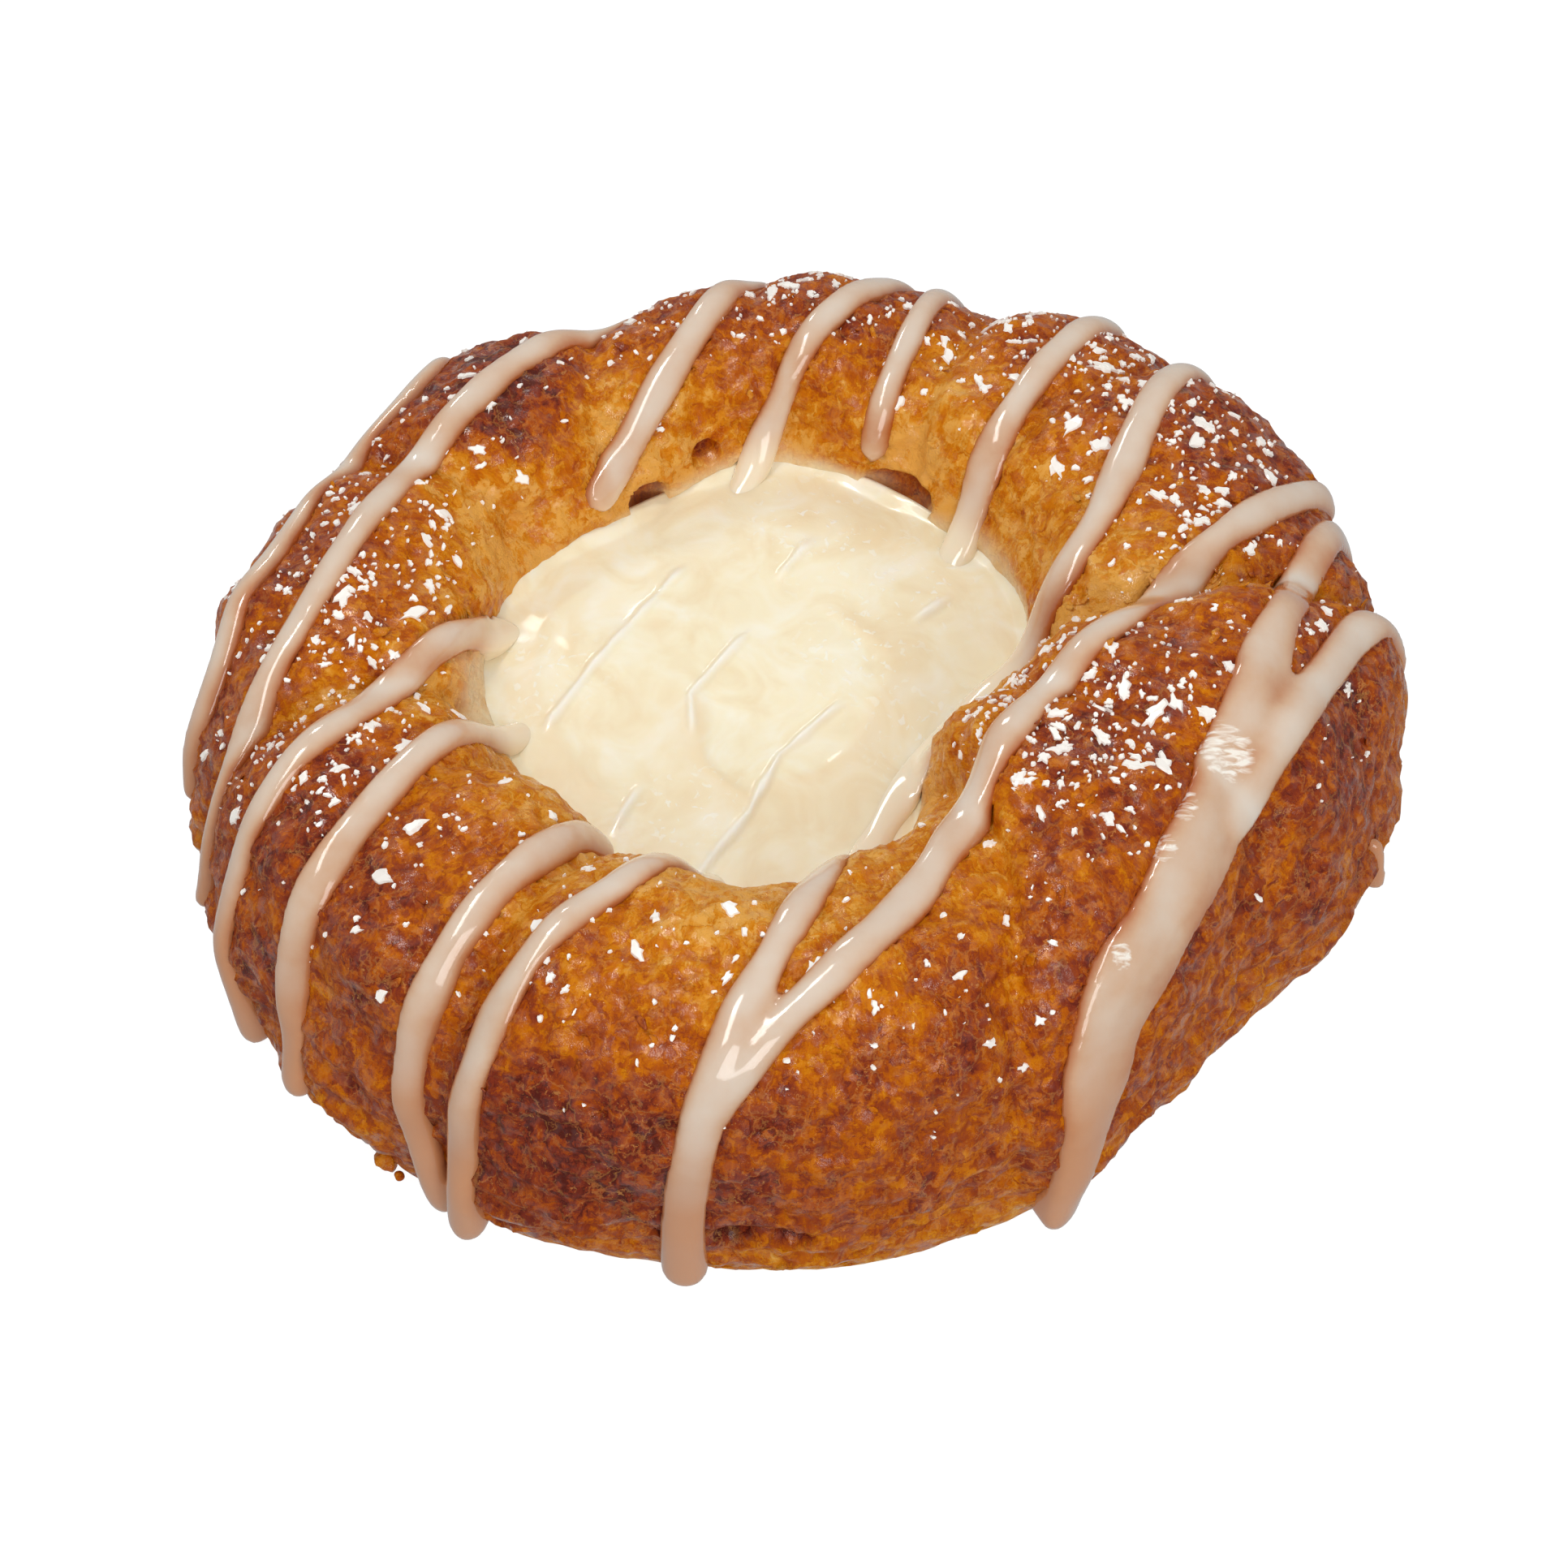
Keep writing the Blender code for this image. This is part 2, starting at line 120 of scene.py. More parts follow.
BELLY_REACH = 0.82  # share of the way from the cheese to the foot at which the belly lies
# Browning from the cheese (reach 0) over the crest (0.4) and the belly to the foot (1)
BROWNING = ((0.0, 0.05), (0.08, 0.17), (0.24, 0.29), (0.4, 0.56), (0.62, 0.62), (0.82, 0.58), (1.0, 0.42))
# Where the oven browned more or less: (angle, reach, spread in degrees, spread in reach, change)
BROWN_PATCHES = (
    (7, 0.32, 9, 0.16, -0.28),
    (30, 0.25, 16, 0.16, -0.12),
    (67, 0.28, 8, 0.2, -0.16),
    (92, 0.42, 18, 0.14, 0.14),
    (93, 0.2, 22, 0.12, 0.14),
    (120, 0.3, 9, 0.22, -0.24),
    (132, 0.4, 11, 0.17, 0.46),
    (152, 0.2, 9, 0.16, -0.14),
    (168, 0.42, 10, 0.16, 0.08),
    (190, 0.3, 7, 0.14, -0.12),
    (208, 0.5, 14, 0.16, 0.18),
    (214, 0.16, 12, 0.1, -0.1),
    (247, 0.74, 22, 0.14, 0.26),
    (262, 0.36, 24, 0.2, -0.36),
    (222, 0.3, 8, 0.1, -0.1),
    (272, 0.97, 28, 0.1, -0.2),
    (300, 0.6, 14, 0.2, 0.04),
    (338, 0.34, 16, 0.14, 0.22),
    (35, 0.5, 16, 0.16, 0.12),
    (350, 0.66, 10, 0.1, 0.16),
    (2, 0.8, 12, 0.12, -0.22),
)
# Where cheese and glaze smeared over the dough at the well's edge: (angle, spread in degrees, reach)
CREAM_SMEARS = ((178, 9, 0.26), (334, 20, 0.1), (98, 30, 0.06), (40, 20, 0.09), (215, 22, 0.045))
# Change of the browning for each millimetre of a crease, a flake or a pore, and at a steam pocket's bottom;
# the darkening in a pore and towards a pocket's bottom is painted shade
CREASE_TONE, FLAKE_TONE, PORE_SHADE, POCKET_SHADE = 0.085, 0.24, 0.4, 0.75
FIBRES_ROUND, FIBRES_DOWN = 42.0 * MM, 18.6 * MM  # where the dough's drawn-out fibres are read
FINE_AROUND = 520
PLAIN_AROUND = 360
BELLY_STEPS = 22
CREST_STEPS = 118


def turn_between(angle, other):
    """The signed turn in degrees from other to angle."""
    return (angle - other + 180) % 360 - 180


def smooth_step(value, low, high):
    share = min(max((value - low) / (high - low), 0.0), 1.0)
    return share * share * (3 - 2 * share)


def swell(angle, swells):
    return sum(
        height * math.exp(-((turn_between(angle, middle) / spread) ** 2))
        for middle, height, spread in swells
    )


def angle_of(x, y, *_):
    """A point's angle round the danish, in degrees from +X."""
    return math.degrees(math.atan2(y, x)) % 360


def at_angle(angle, radius=1.0):
    """The plan position at this angle and radius."""
    turn = math.radians(angle)
    return radius * math.cos(turn), radius * math.sin(turn)


def outer_radius(angle):
    along_x, along_y = at_angle(angle)
    ellipse = OUTER_LONG * OUTER_SHORT / math.hypot(OUTER_SHORT * along_x, OUTER_LONG * along_y)
    return ellipse + swell(angle, OUTER_SWELLS)


def well_radius(angle):
    return WELL_RADIUS + swell(angle, WELL_SWELLS)


def crest_height(angle):
    return CREST_HEIGHT + swell(angle, CREST_SWELLS)


def crease_relief(angle, share, radius):
    """The dip where two turns of dough meet, and the rise of the turn that laps over the other."""
    total = 0.0
    outside_fade = 1 - CREASE_FADE * smooth_step(share, 0.8, 1.0)
    for middle, lean, depth, width, lap in CREASES:
        line = middle + lean * (share - CREST_SHARE)
        along = math.radians(turn_between(angle, line)) * radius
        total -= depth * outside_fade * math.exp(-((abs(along) / width) ** CREASE_SHARPNESS))
        lapping = -along if lap > 0 else along
        if lapping > 0:
            total += abs(lap) * math.exp(-lapping / LAP_REACH) * smooth_step(lapping, 0, LAP_EDGE)
    return total


def lump_relief(point):
    return sum(height * noise.noise(point / wavelength) * 2 for wavelength, height in LUMPS)


def lamination_relief(point, angle):
    """Near-level layers that show on the outer wall below the browned crest."""
    spacing, height, waver = LAMINATION
    waver *= noise.noise(Vector((angle / 14, 0, 5)))
    fade = 1 - smooth_step(point.z, OUTER_BELLY, 1.7 * OUTER_BELLY)
    return height * fade * math.sin(2 * math.pi * (point.z + waver) / spacing)


def flaky_relief(point):
    """Sharp little ridges where the top layers blistered and tore."""
    return sum(
        height * (0.5 - abs(noise.noise(point / wavelength + Vector((7, 3, 1)))) * FLAKE_SHARPNESS)
        for wavelength, height in FLAKES_OF_CRUST
    )


def open_layer_relief(point):
    """Flattened pores between the layers, low on the outer wall."""
    width, depth, top, patch = OPEN_LAYERS
    squashed = Vector((point.x / width, point.y / width, PORE_FLATNESS * point.z / width))
    near = noise.voronoi(squashed)[0][0]
    patchy = smooth_step(noise.noise(point / patch), -0.1, 0.35)
    fade = 1 - smooth_step(point.z, 0.6 * top, top)
    return -depth * patchy * (1 - smooth_step(near, 0.1, 0.55)) * fade


def section_profile(belly_steps, crest_steps):
    """(share from well to outside, height) from the foot's edge over the crest to the well's floor."""
    width = OUTER_LONG - WELL_RADIUS
    points = []
    for step in range(belly_steps):
        turn = math.pi / 2 * (1 - step / belly_steps)
        points.append((1 - FOOT_TUCK / width * (1 - math.cos(turn)), OUTER_BELLY * (1 - math.sin(turn))))
    for step in range(crest_steps + 1):
        turn = math.pi * step / crest_steps
        across = abs(math.cos(turn)) ** ROUNDNESS
        rise = max(math.sin(turn), 0.0) ** ROUNDNESS
        if turn < math.pi / 2:
            points.append((
                CREST_SHARE + (1 - CREST_SHARE) * across,
                OUTER_BELLY + (CREST_HEIGHT - OUTER_BELLY) * rise,
            ))
        else:
            points.append((
                CREST_SHARE * (1 - across),
                CHEESE_LEVEL + (CREST_HEIGHT - CHEESE_LEVEL) * rise,
            ))
    points.append((0.0, FLOOR))
    return points


def reach_of(share, height):
    """How far along the section a point lies, from 0 at the cheese to 1 at the foot."""
    if share > 0.9 and height < OUTER_BELLY:
        return BELLY_REACH + (1 - BELLY_REACH) * (1 - height / OUTER_BELLY)
    base = OUTER_BELLY if share >= CREST_SHARE else CHEESE_LEVEL
    rise = max((height - base) / (CREST_HEIGHT - base), 0.0)
    turn = math.atan2(rise, (share - CREST_SHARE) / CREST_SHARE)
    return BELLY_REACH * (1 - turn / math.pi)


def browning(angle, reach):
    low = max(index for index, (place, _) in enumerate(BROWNING[:-1]) if place <= reach + 1e-9)
    (first, brown), (second, browner) = BROWNING[low], BROWNING[low + 1]
    total = brown + (browner - brown) * min((reach - first) / (second - first), 1.0)
    for middle, at, spread, reach_spread, change in BROWN_PATCHES:
        away = (turn_between(angle, middle) / spread) ** 2 + ((reach - at) / reach_spread) ** 2
        total += change * math.exp(-away)
    return total


def creaminess(angle, reach):
    """How much cheese and glaze cover the dough here, at the well's edge."""
    limit = sum(
        smear * math.exp(-((turn_between(angle, middle) / spread) ** 2))
        for middle, spread, smear in CREAM_SMEARS
    )
    return 1 - smooth_step(reach, 0.1 * limit, limit + 0.01)


def spun(profile, around):
    """A closed bmesh turned about Z from (radius, height) points whose first and last lie on the axis."""
    mesh = bmesh.new()
    verts = [mesh.verts.new((radius, 0, height)) for radius, height in profile]
    edges = [mesh.edges.new(pair) for pair in zip(verts, verts[1:])]
    bmesh.ops.spin(
        mesh, geom=verts + edges, cent=(0, 0, 0), axis=(0, 0, 1), angle=2 * math.pi, steps=around,
        use_merge=True,
    )
    bmesh.ops.remove_doubles(mesh, verts=mesh.verts, dist=1e-6)
    bmesh.ops.recalc_face_normals(mesh, faces=mesh.faces)
    return mesh


def out_of_pockets(point):
    """The point, or where a steam pocket's wall is if the point lies in the pocket, and how deep it lay."""
    for angle, height, half_width, half_depth, half_height, outside in POCKETS:
        radius = outer_radius(angle) if outside else well_radius(angle)
        away = point - Vector((*at_angle(angle, radius), height))
        outward = Vector((*at_angle(angle), 0)) * (-1 if outside else 1)
        sideways = Vector((0, 0, 1)).cross(outward)
        local = Vector((
            away.dot(outward) / half_depth, away.dot(sideways) / half_width, away.z / half_height
        ))
        if 0 < local.length < 1:
            flat = Vector((0, local.y, local.z)).length
            deep = math.sqrt(max(1 - flat * flat, 0.0)) - local.x
            return point + outward * deep * half_depth, min(deep, 1.0)
    return point, 0.0


def ring_of_dough(around, belly_steps, crest_steps, detailed):
    """The ring's bmesh, with its browning (painted shade in its pores and steam pockets included), cream
    and fibres as attributes where it is detailed.
    """
    width = OUTER_LONG - WELL_RADIUS
    profile = section_profile(belly_steps, crest_steps)
    skin = [(WELL_RADIUS + share * width, height) for share, height in profile]
    mesh = spun([(0, 0), *skin, (0, FLOOR)], around)
    # The browning attribute also holds painted shade: darker in the pores and towards the steam pockets'
    # bottoms.
    brown_and_shade_layer = mesh.verts.layers.float.new("browning")
    fibre_layer = mesh.verts.layers.float_vector.new("fibres")
    cream_layer = mesh.verts.layers.float.new("creaminess")
    stations = {}
    for vert in mesh.verts:
        angle = angle_of(*vert.co)
        nominal = math.hypot(vert.co.x, vert.co.y)
        share = (nominal - WELL_RADIUS) / width
        reach = reach_of(share, vert.co.z)
        outer, well = outer_radius(angle), well_radius(angle)
        radius = well + share * (outer - well) if share > 0 else nominal / WELL_RADIUS * well
        base = OUTER_BELLY if share >= CREST_SHARE else CHEESE_LEVEL
        height = vert.co.z
        if height > base:
            height = base + (height - base) * (crest_height(angle) - base) / (CREST_HEIGHT - base)
        vert.co = (*at_angle(angle, radius), height)
        stations[vert] = (angle, share, radius, reach)
    mesh.normal_update()
    moves = []
    for vert in mesh.verts:
        angle, share, radius, reach = stations[vert]
        inside = share < CREST_SHARE
        fade = (CHEESE_LEVEL, CHEESE_LEVEL + WELL_FADE) if inside else FOOT_FADE
        keep = smooth_step(vert.co.z, *fade)
        crease = crease_relief(angle, share, radius)
        relief = (crease + lump_relief(vert.co)) * keep
        if not inside:
            relief += lamination_relief(vert.co, angle) * keep
        if detailed and share > -0.01:
            flaky = flaky_relief(vert.co) * (0.35 + 0.65 * keep)
            pores = open_layer_relief(vert.co) if not inside else 0.0
            relief += flaky + pores
            # The pores' part of the tone is painted shade, darker in them.
            tone = CREASE_TONE * min(crease, 0) - FLAKE_TONE * flaky - PORE_SHADE * pores
            vert[brown_and_shade_layer] = browning(angle, reach) + tone / MM
            vert[cream_layer] = creaminess(angle, reach)
            vert[fibre_layer] = (*at_angle(angle, FIBRES_ROUND), FIBRES_DOWN * reach)
        moves.append((vert, vert.normal * relief))
    for vert, move in moves:
        vert.co += move
    if detailed:
        for vert in mesh.verts:
            vert.co, deep = out_of_pockets(vert.co)
            # Painted shade: darker towards a steam pocket's bottom.
            vert[brown_and_shade_layer] += POCKET_SHADE * deep
            vert[cream_layer] *= 1 - deep
    return mesh


def shown(name, mesh, finish, body="root"):
    """The bmesh as a smooth-shaded piece that rides on the body."""
    data = bpy.data.meshes.new(name)
    mesh.to_mesh(data)
    mesh.free()
    data.materials.append(finish)
    data.shade_smooth()
    made = bpy.data.objects.new(name, data)
    bpy.context.scene.collection.objects.link(made)
    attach(made, body)
    return made


def linear(hex_code):
    """An sRGB hex colour as linear RGBA."""
    channels = (int(hex_code[place:place + 2], 16) / 255 for place in (1, 3, 5))
    return (*(c / 12.92 if c <= 0.04045 else ((c + 0.055) / 1.055) ** 2.4 for c in channels), 1.0)


def new_material(name):
    made = bpy.data.materials.new(name)
    made.use_nodes = True
    made.node_tree.nodes.clear()
    return made


def add_node(material, kind, output=None, settings=None, inputs=None, stops=None):
    """Adds a node with settings, inputs as values or links, and a ramp's stops, and gives its output."""
    made = material.node_tree.nodes.new("ShaderNode" + kind)
    for name, value in (settings or {}).items():
        setattr(made, name, value)
    for name, value in (inputs or {}).items():
        if isinstance(value, bpy.types.NodeSocket):
            material.node_tree.links.new(value, made.inputs[name])
        else:
            made.inputs[name].default_value = value
    for index, (place, hex_code) in enumerate(stops or ()):
        elements = made.color_ramp.elements
        element = elements[index] if index < len(elements) else elements.new(place)
        element.position = place
        element.color = linear(hex_code)
    return made.outputs[output] if output is not None else None


# Egg-washed laminated crust: golden where it is young, red-brown to near maroon where it browned, mottled
# by the flaky layers, with a thin clear glaze that gives it a soft shine. Painted shade darkens it in the
# pores of its open layers and towards the bottoms of its steam pockets.
crust_finish = new_material("egg_washed_laminated_crust")
place = add_node(crust_finish, "TexCoord", "Object")
# The browning attribute holds painted shade in the pores and steam pockets as well as the oven's browning.
browned_and_shaded, creamed = (
    add_node(crust_finish, "Attribute", "Fac", {"attribute_name": layer})
    for layer in ("browning", "creaminess")
)
fibres = add_node(crust_finish, "Attribute", "Vector", {"attribute_name": "fibres"})
crumpling = add_node(crust_finish, "TexNoise", "Color", inputs={
    "Vector": place, "Scale": 1 / (1.8 * MM), "Detail": 4.0, "Roughness": 0.6,
})
crumpled_place = add_node(crust_finish, "VectorMath", 0, {"operation": "MULTIPLY_ADD"}, {
    0: crumpling, 1: (3.6 * MM, 3.6 * MM, 3.6 * MM), 2: place,
})
flakes = add_node(crust_finish, "TexVoronoi", "Color", inputs={
    "Vector": crumpled_place, "Scale": 1 / (1.2 * MM),
})
flake_edges = add_node(crust_finish, "TexVoronoi", "Distance", {"feature": "DISTANCE_TO_EDGE"}, {
    "Vector": crumpled_place, "Scale": 1 / (2.9 * MM),
})
mottling, threads, blisters, flecks, grain, glazed_spots = (
    add_node(crust_finish, "TexNoise", "Fac", inputs={
        "Vector": way, "Scale": 1 / size, "Detail": detail, "Roughness": rough, "Distortion": twist,
    })
    for way, size, detail, rough, twist in (
        (place, 6.2 * MM, 6.0, 0.66, 0.7),
        (fibres, 1.0 * MM, 4.0, 0.65, 1.4),
        (crumpled_place, 1.7 * MM, 3.0, 0.6, 1.0),
        (crumpled_place, 0.55 * MM, 2.0, 0.5, 0.8),
        (place, 0.9 * MM, 3.0, 0.6, 0.4),
        (place, 1.5 * MM, 2.0, 0.5, 0.0),
    )
)
crisp_blisters, pale_flecks, torn_edge, torn_patch, cream_patch, crust_sheen, glazing = (
    add_node(crust_finish, "MapRange", "Result", inputs={
        "Value": pattern, "From Min": low, "From Max": high, "To Min": first, "To Max": second,
    })
    for pattern, low, high, first, second in (
        (blisters, 0.42, 0.58, 0.0, 1.0),
        (flecks, 0.62, 0.7, 0.0, 0.55),
        (flake_edges, 0.01, 0.06, 0.3, 0.0),
        (mottling, 0.4, 0.56, 0.0, 1.0),
        (mottling, 0.35, 0.6, 0.35, 1.0),
        (grain, 0.0, 1.0, 0.25, 0.6),
        (glazed_spots, 0.5, 0.6, 0.02, 0.9),
    )
)
level = browned_and_shaded
for pattern, strength in ((mottling, 1.15), (threads, 0.6), (flakes, 0.2), (crisp_blisters, 0.24)):
    centred = add_node(crust_finish, "Math", 0, {"operation": "SUBTRACT"}, {0: pattern, 1: 0.5})
    level = add_node(crust_finish, "Math", 0, {"operation": "MULTIPLY_ADD"}, {
        0: centred, 1: strength, 2: level,
    })
baked_and_shaded_colour = add_node(crust_finish, "ValToRGB", "Color", inputs={"Fac": level}, stops=(
    (0.0, "#e0a24a"), (0.12, "#d68c26"), (0.26, "#cc7806"), (0.4, "#be6404"),
    (0.54, "#ac500a"), (0.68, "#963e16"), (0.84, "#7c2c1c"), (1.0, "#541a16"),
))
torn_or_pale = add_node(crust_finish, "Math", 0, {"operation": "MAXIMUM"}, {
    0: torn_edge, 1: pale_flecks,
})
torn, thin_cream = (
    add_node(crust_finish, "Math", 0, {"operation": "MULTIPLY"}, {0: amount, 1: patch})
    for amount, patch in ((torn_or_pale, torn_patch), (creamed, cream_patch))
)
crust_colour = baked_and_shaded_colour
for cover, hex_code in ((torn, "#d3924e"), (thin_cream, "#efdcb4")):
    crust_colour = add_node(crust_finish, "Mix", "Result", {"data_type": "RGBA"}, {
        "Factor": cover, "A": crust_colour, "B": linear(hex_code),
    })
layered = add_node(crust_finish, "Math", 0, {"operation": "MULTIPLY_ADD"}, {
    0: crisp_blisters, 1: 0.5, 2: grain,
})
crust_bump, lacquer_bump = (
    add_node(crust_finish, "Bump", "Normal", inputs={
        "Strength": strength, "Distance": 0.3 * MM, "Height": pattern,
    })
    for strength, pattern in ((0.55, layered), (0.6, blisters))
)
crust_shader = add_node(crust_finish, "BsdfPrincipled", "BSDF", inputs={
    "Base Color": crust_colour, "Roughness": crust_sheen, "Normal": crust_bump, "IOR": 1.28,
    "Specular Tint": linear("#ffc080"), "Coat Weight": glazing, "Coat Roughness": 0.08, "Coat IOR": 1.38,
    "Coat Normal": lacquer_bump,
})
add_node(crust_finish, "OutputMaterial", inputs={"Surface": crust_shader})

dough_crust = shown("dough_crust", ring_of_dough(FINE_AROUND, BELLY_STEPS, CREST_STEPS, True), crust_finish)
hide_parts("dough_ring")

# The icing is a poured sugar glaze, drizzled in parallel strokes from a moving nozzle. It draped over the
# crests, pooled where two strokes met, ran down the outer wall and set in rounded drops at its ends.
DRIZZLE_TURN = math.radians(35)
STATIONS = (50, 25, 0, -25, -50)
# Offsets from the line through the centre at the five stations, far right to near left, start and end along
# the line, width at the five stations, and how low the two ends run, all in millimetres, then how far the
# near run curls to the right for each step that it falls
STROKES = {
    "a": ((-48, -50.6, -51.0, -47.4, -41), 12, -36, (3.4, 3.4, 3.4, 3.4, 3.4), 18, 13, 0.0),
    "b": ((-22, -40.6, -43.6, -39.6, -36.2), 27, -44, (3.4, 3.6, 3.8, 3.6, 3.4), 20, 10, 0.1),
    "c": ((-33, -31, -29.4, -28.4, -30.2), 42, 6.5, (3.6, 4.0, 4.0, 3.6, 3.6), 16, None, 0.0),
    "c_near": ((-33, -31, -29.4, -28.4, -30.2), -7, -50, (4.0, 4.0, 3.8, 4.0, 3.6), None, 2.5, 0.3),
    "d": ((-20.5, -21.4, -19, -20.4, -20.2), 50, -54, (3.6, 3.6, 3.6, 3.8, 3.8), 17, 6, 0.2),
    "e": ((-16, -10, -7.6, -3.8, -5.0), 54, -57, (3.4, 3.2, 3.6, 4.0, 3.8), 16, 1.6, 0.4),
    "f": ((0, 1.6, 3.8, 5.8, 2.0), 58, -57, (3.8, 4.0, 4.0, 3.8, 4.0), 14, 1.6, 0.1),
    "g": ((11, 16.2, 13.9, 19.2, 22.6), 58, -56, (4.2, 4.4, 4.2, 4.0, 4.8), 17, 1.6, 0.1),
    "h": ((28.5, 26.3, 24.3, 27.0, 22.4), 54, -52, (4.0, 4.2, 4.2, 4.4, 4.0), 19, None, 0.0),
    "i": ((31.5, 37.8, 45, 46, 42), 50, -30, (4.2, 5.0, 8.6, 9.2, 6.2), 16, 2.2, -0.12),
    "j": ((39.8, 43.4, 45.6, 45.6, 45.6), 42, 3, (4.0, 4.8, 5.0, 5.0, 5.0), 14, None, 0.0),
}
ICING_HEIGHT = 1.1 * MM
DROP_HEIGHT = 2.1 * MM
DROP_SWELL = 1.1
MERGE_GROWTH = 0.35 * MM  # how much wider the beads become when they merge
RUN_WIDTH = 4.6 * MM  # a wide stroke narrows to this as it runs down the wall
FEATHERED = {"i": 0.55}  # how much thinner a stroke's left edge is than its middle
ICING_STEP = 1.0 * MM
ICING_SINK = 0.9 * MM  # how far the icing's underside lies in the crust, so that no gap shows
RUN_STEEPNESS = 0.35  # where the crust's normal rises less than this, the icing runs down the wall
RUN_DRIFT = 0.3  # how much of the stroke's own direction a run keeps
RUN_STEPS = 70  # at most
HANG_BELOW = 7.0 * MM  # a run hangs straight down from this height, clear of the tucked foot
BRIDGED = 0.35 * MM  # how far the icing sags into a crease that it crosses
ABOVE = 100.0 * MM
DOWN = Vector((0, 0, -1))
RIM_LIFT = 0.1 * MM  # height over the cheese's level of an end that lies on the cheese
RIM_LAP = 5.0 * MM  # how far an end lies on the cheese
RIM_SLOPE = 0.34  # how steeply such an end sinks into the cheese
# Stroke g lies along the cheese's right edge, and stroke e ends above a steam pocket
OTHER_LAPS = {"g": 6.0 * MM, "e": -0.3 * MM}
OTHER_SLOPES = {"g": 0.0}
DRIPS = ((-12, 15.0, 8.0, 2.0),)  # stray drips: (angle, top, bottom, width), in millimetres
WIDTH_WAVER = (0.2, 7.0 * MM)  # share of a bead's width by which it varies, and the length of that
NARROWING = (0.4 * OUTER_BELLY, 2.2 * OUTER_BELLY)  # heights between which a wide stroke narrows to a run
DROPPING = (0.3 * OUTER_BELLY, 1.2 * OUTER_BELLY)  # heights between which a run swells to a drop
# Rounds of smoothing of a bead's route, its normals and its level over the crust
ROUTE_ROUNDS, NORMAL_ROUNDS, LEVEL_ROUNDS = 24, 12, 7
ICING_VOXEL = 0.4 * MM
ICING_SMOOTHING = 9
AROUND_BEAD = 14


def tree_of(mesh):
    tree = bvhtree.BVHTree.FromBMesh(mesh)
    mesh.free()
    return tree


def between_stations(values, along):
    """A smooth curve through a stroke's five values, read this far along it."""
    gap = STATIONS[0] - STATIONS[1]
    place = min(max((STATIONS[0] - along) / gap, 0.0), len(values) - 1.001)
    index = int(place)
    share = place - index
    before, first, second, after = (
        values[min(max(index + shift, 0), len(values) - 1)] for shift in (-1, 0, 1, 2)
    )
    slope, bend = second - before, 2 * before - 5 * first + 4 * second - after
    turn = 3 * first - before - 3 * second + after
    return first + share * (slope + share * (bend + share * turn)) / 2


def stroke_place(stroke, along):
    """Plan position of a stroke's middle, this far along it."""
    across = between_stations(stroke[0], along / MM) * MM
    return (
        across * math.cos(DRIZZLE_TURN) + along * math.sin(DRIZZLE_TURN),
        -across * math.sin(DRIZZLE_TURN) + along * math.cos(DRIZZLE_TURN),
    )


def along_of(point):
    return point.x * math.sin(DRIZZLE_TURN) + point.y * math.cos(DRIZZLE_TURN)


def run_down(tree, start, heading, lowest, curl=0.0):
    """Points where the icing runs on down the outer wall, from start to the height lowest."""
    point, points = start, []
    while point.z > lowest and len(points) < RUN_STEPS:
        _, normal, _, _ = tree.find_nearest(point)
        aside = curl * (1 - smooth_step(point.z, OUTER_BELLY, 2 * OUTER_BELLY))
        if point.z < HANG_BELOW:
            point = point + Vector((0.5 * aside, 0, -1)) * ICING_STEP
        else:
            pull = heading * RUN_DRIFT + Vector((aside, 0, -1))
            pull -= normal * pull.dot(normal)
            point = tree.find_nearest(point + pull.normalized() * ICING_STEP)[0]
        points.append(point)
    return points


def in_well(point, margin=0.0):
    return math.hypot(point.x, point.y) < well_radius(angle_of(*point)) - margin


def inside_crest(point):
    angle = angle_of(*point)
    crest = well_radius(angle) + CREST_SHARE * (outer_radius(angle) - well_radius(angle))
    return math.hypot(point.x, point.y) < crest


def stroke_route(tree, stroke, slope):
    """The stroke's points on the crust from its far run, over the top, to its near run, well included."""
    start, end = stroke[1] * MM, stroke[2] * MM
    count = round((start - end) / ICING_STEP)
    over = []
    for step in range(count + 1):
        x, y = stroke_place(stroke, start + (end - start) * step / count)
        spot, normal, _, _ = tree.ray_cast(Vector((x, y, ABOVE)), DOWN)
        if spot and in_well(spot):
            inwards = well_radius(angle_of(x, y)) - math.hypot(x, y)
            spot.z = CHEESE_LEVEL + RIM_LIFT - slope * inwards
        if spot and (inside_crest(spot) or (normal.z > RUN_STEEPNESS and spot.z > OUTER_BELLY)):
            over.append(spot)
    heading = Vector((-math.sin(DRIZZLE_TURN), -math.cos(DRIZZLE_TURN), 0))
    far_low, near_low, curl = stroke[4:]
    far_run = run_down(tree, over[0], Vector((0, 0, 0)), far_low * MM)[::-1] if far_low else []
    near_run = run_down(tree, over[-1], heading, near_low * MM, curl) if near_low else []
    return far_run + over + near_run


def runs_of(points, wanted):
    """The stretches of points that all pass the test."""
    stretches, current = [], []
    for point in points:
        if wanted(point):
            current.append(point)
        else:
            stretches.append(current)
            current = []
    stretches.append(current)
    return [stretch for stretch in stretches if len(stretch) > 5]


def evened(points, rounds):
    """The points with their small wobbles smoothed out, ends kept."""
    for _ in range(rounds):
        points = [points[0], *(
            (a + b * 2 + c) / 4 for a, b, c in zip(points, points[1:], points[2:])
        ), points[-1]]
    return points


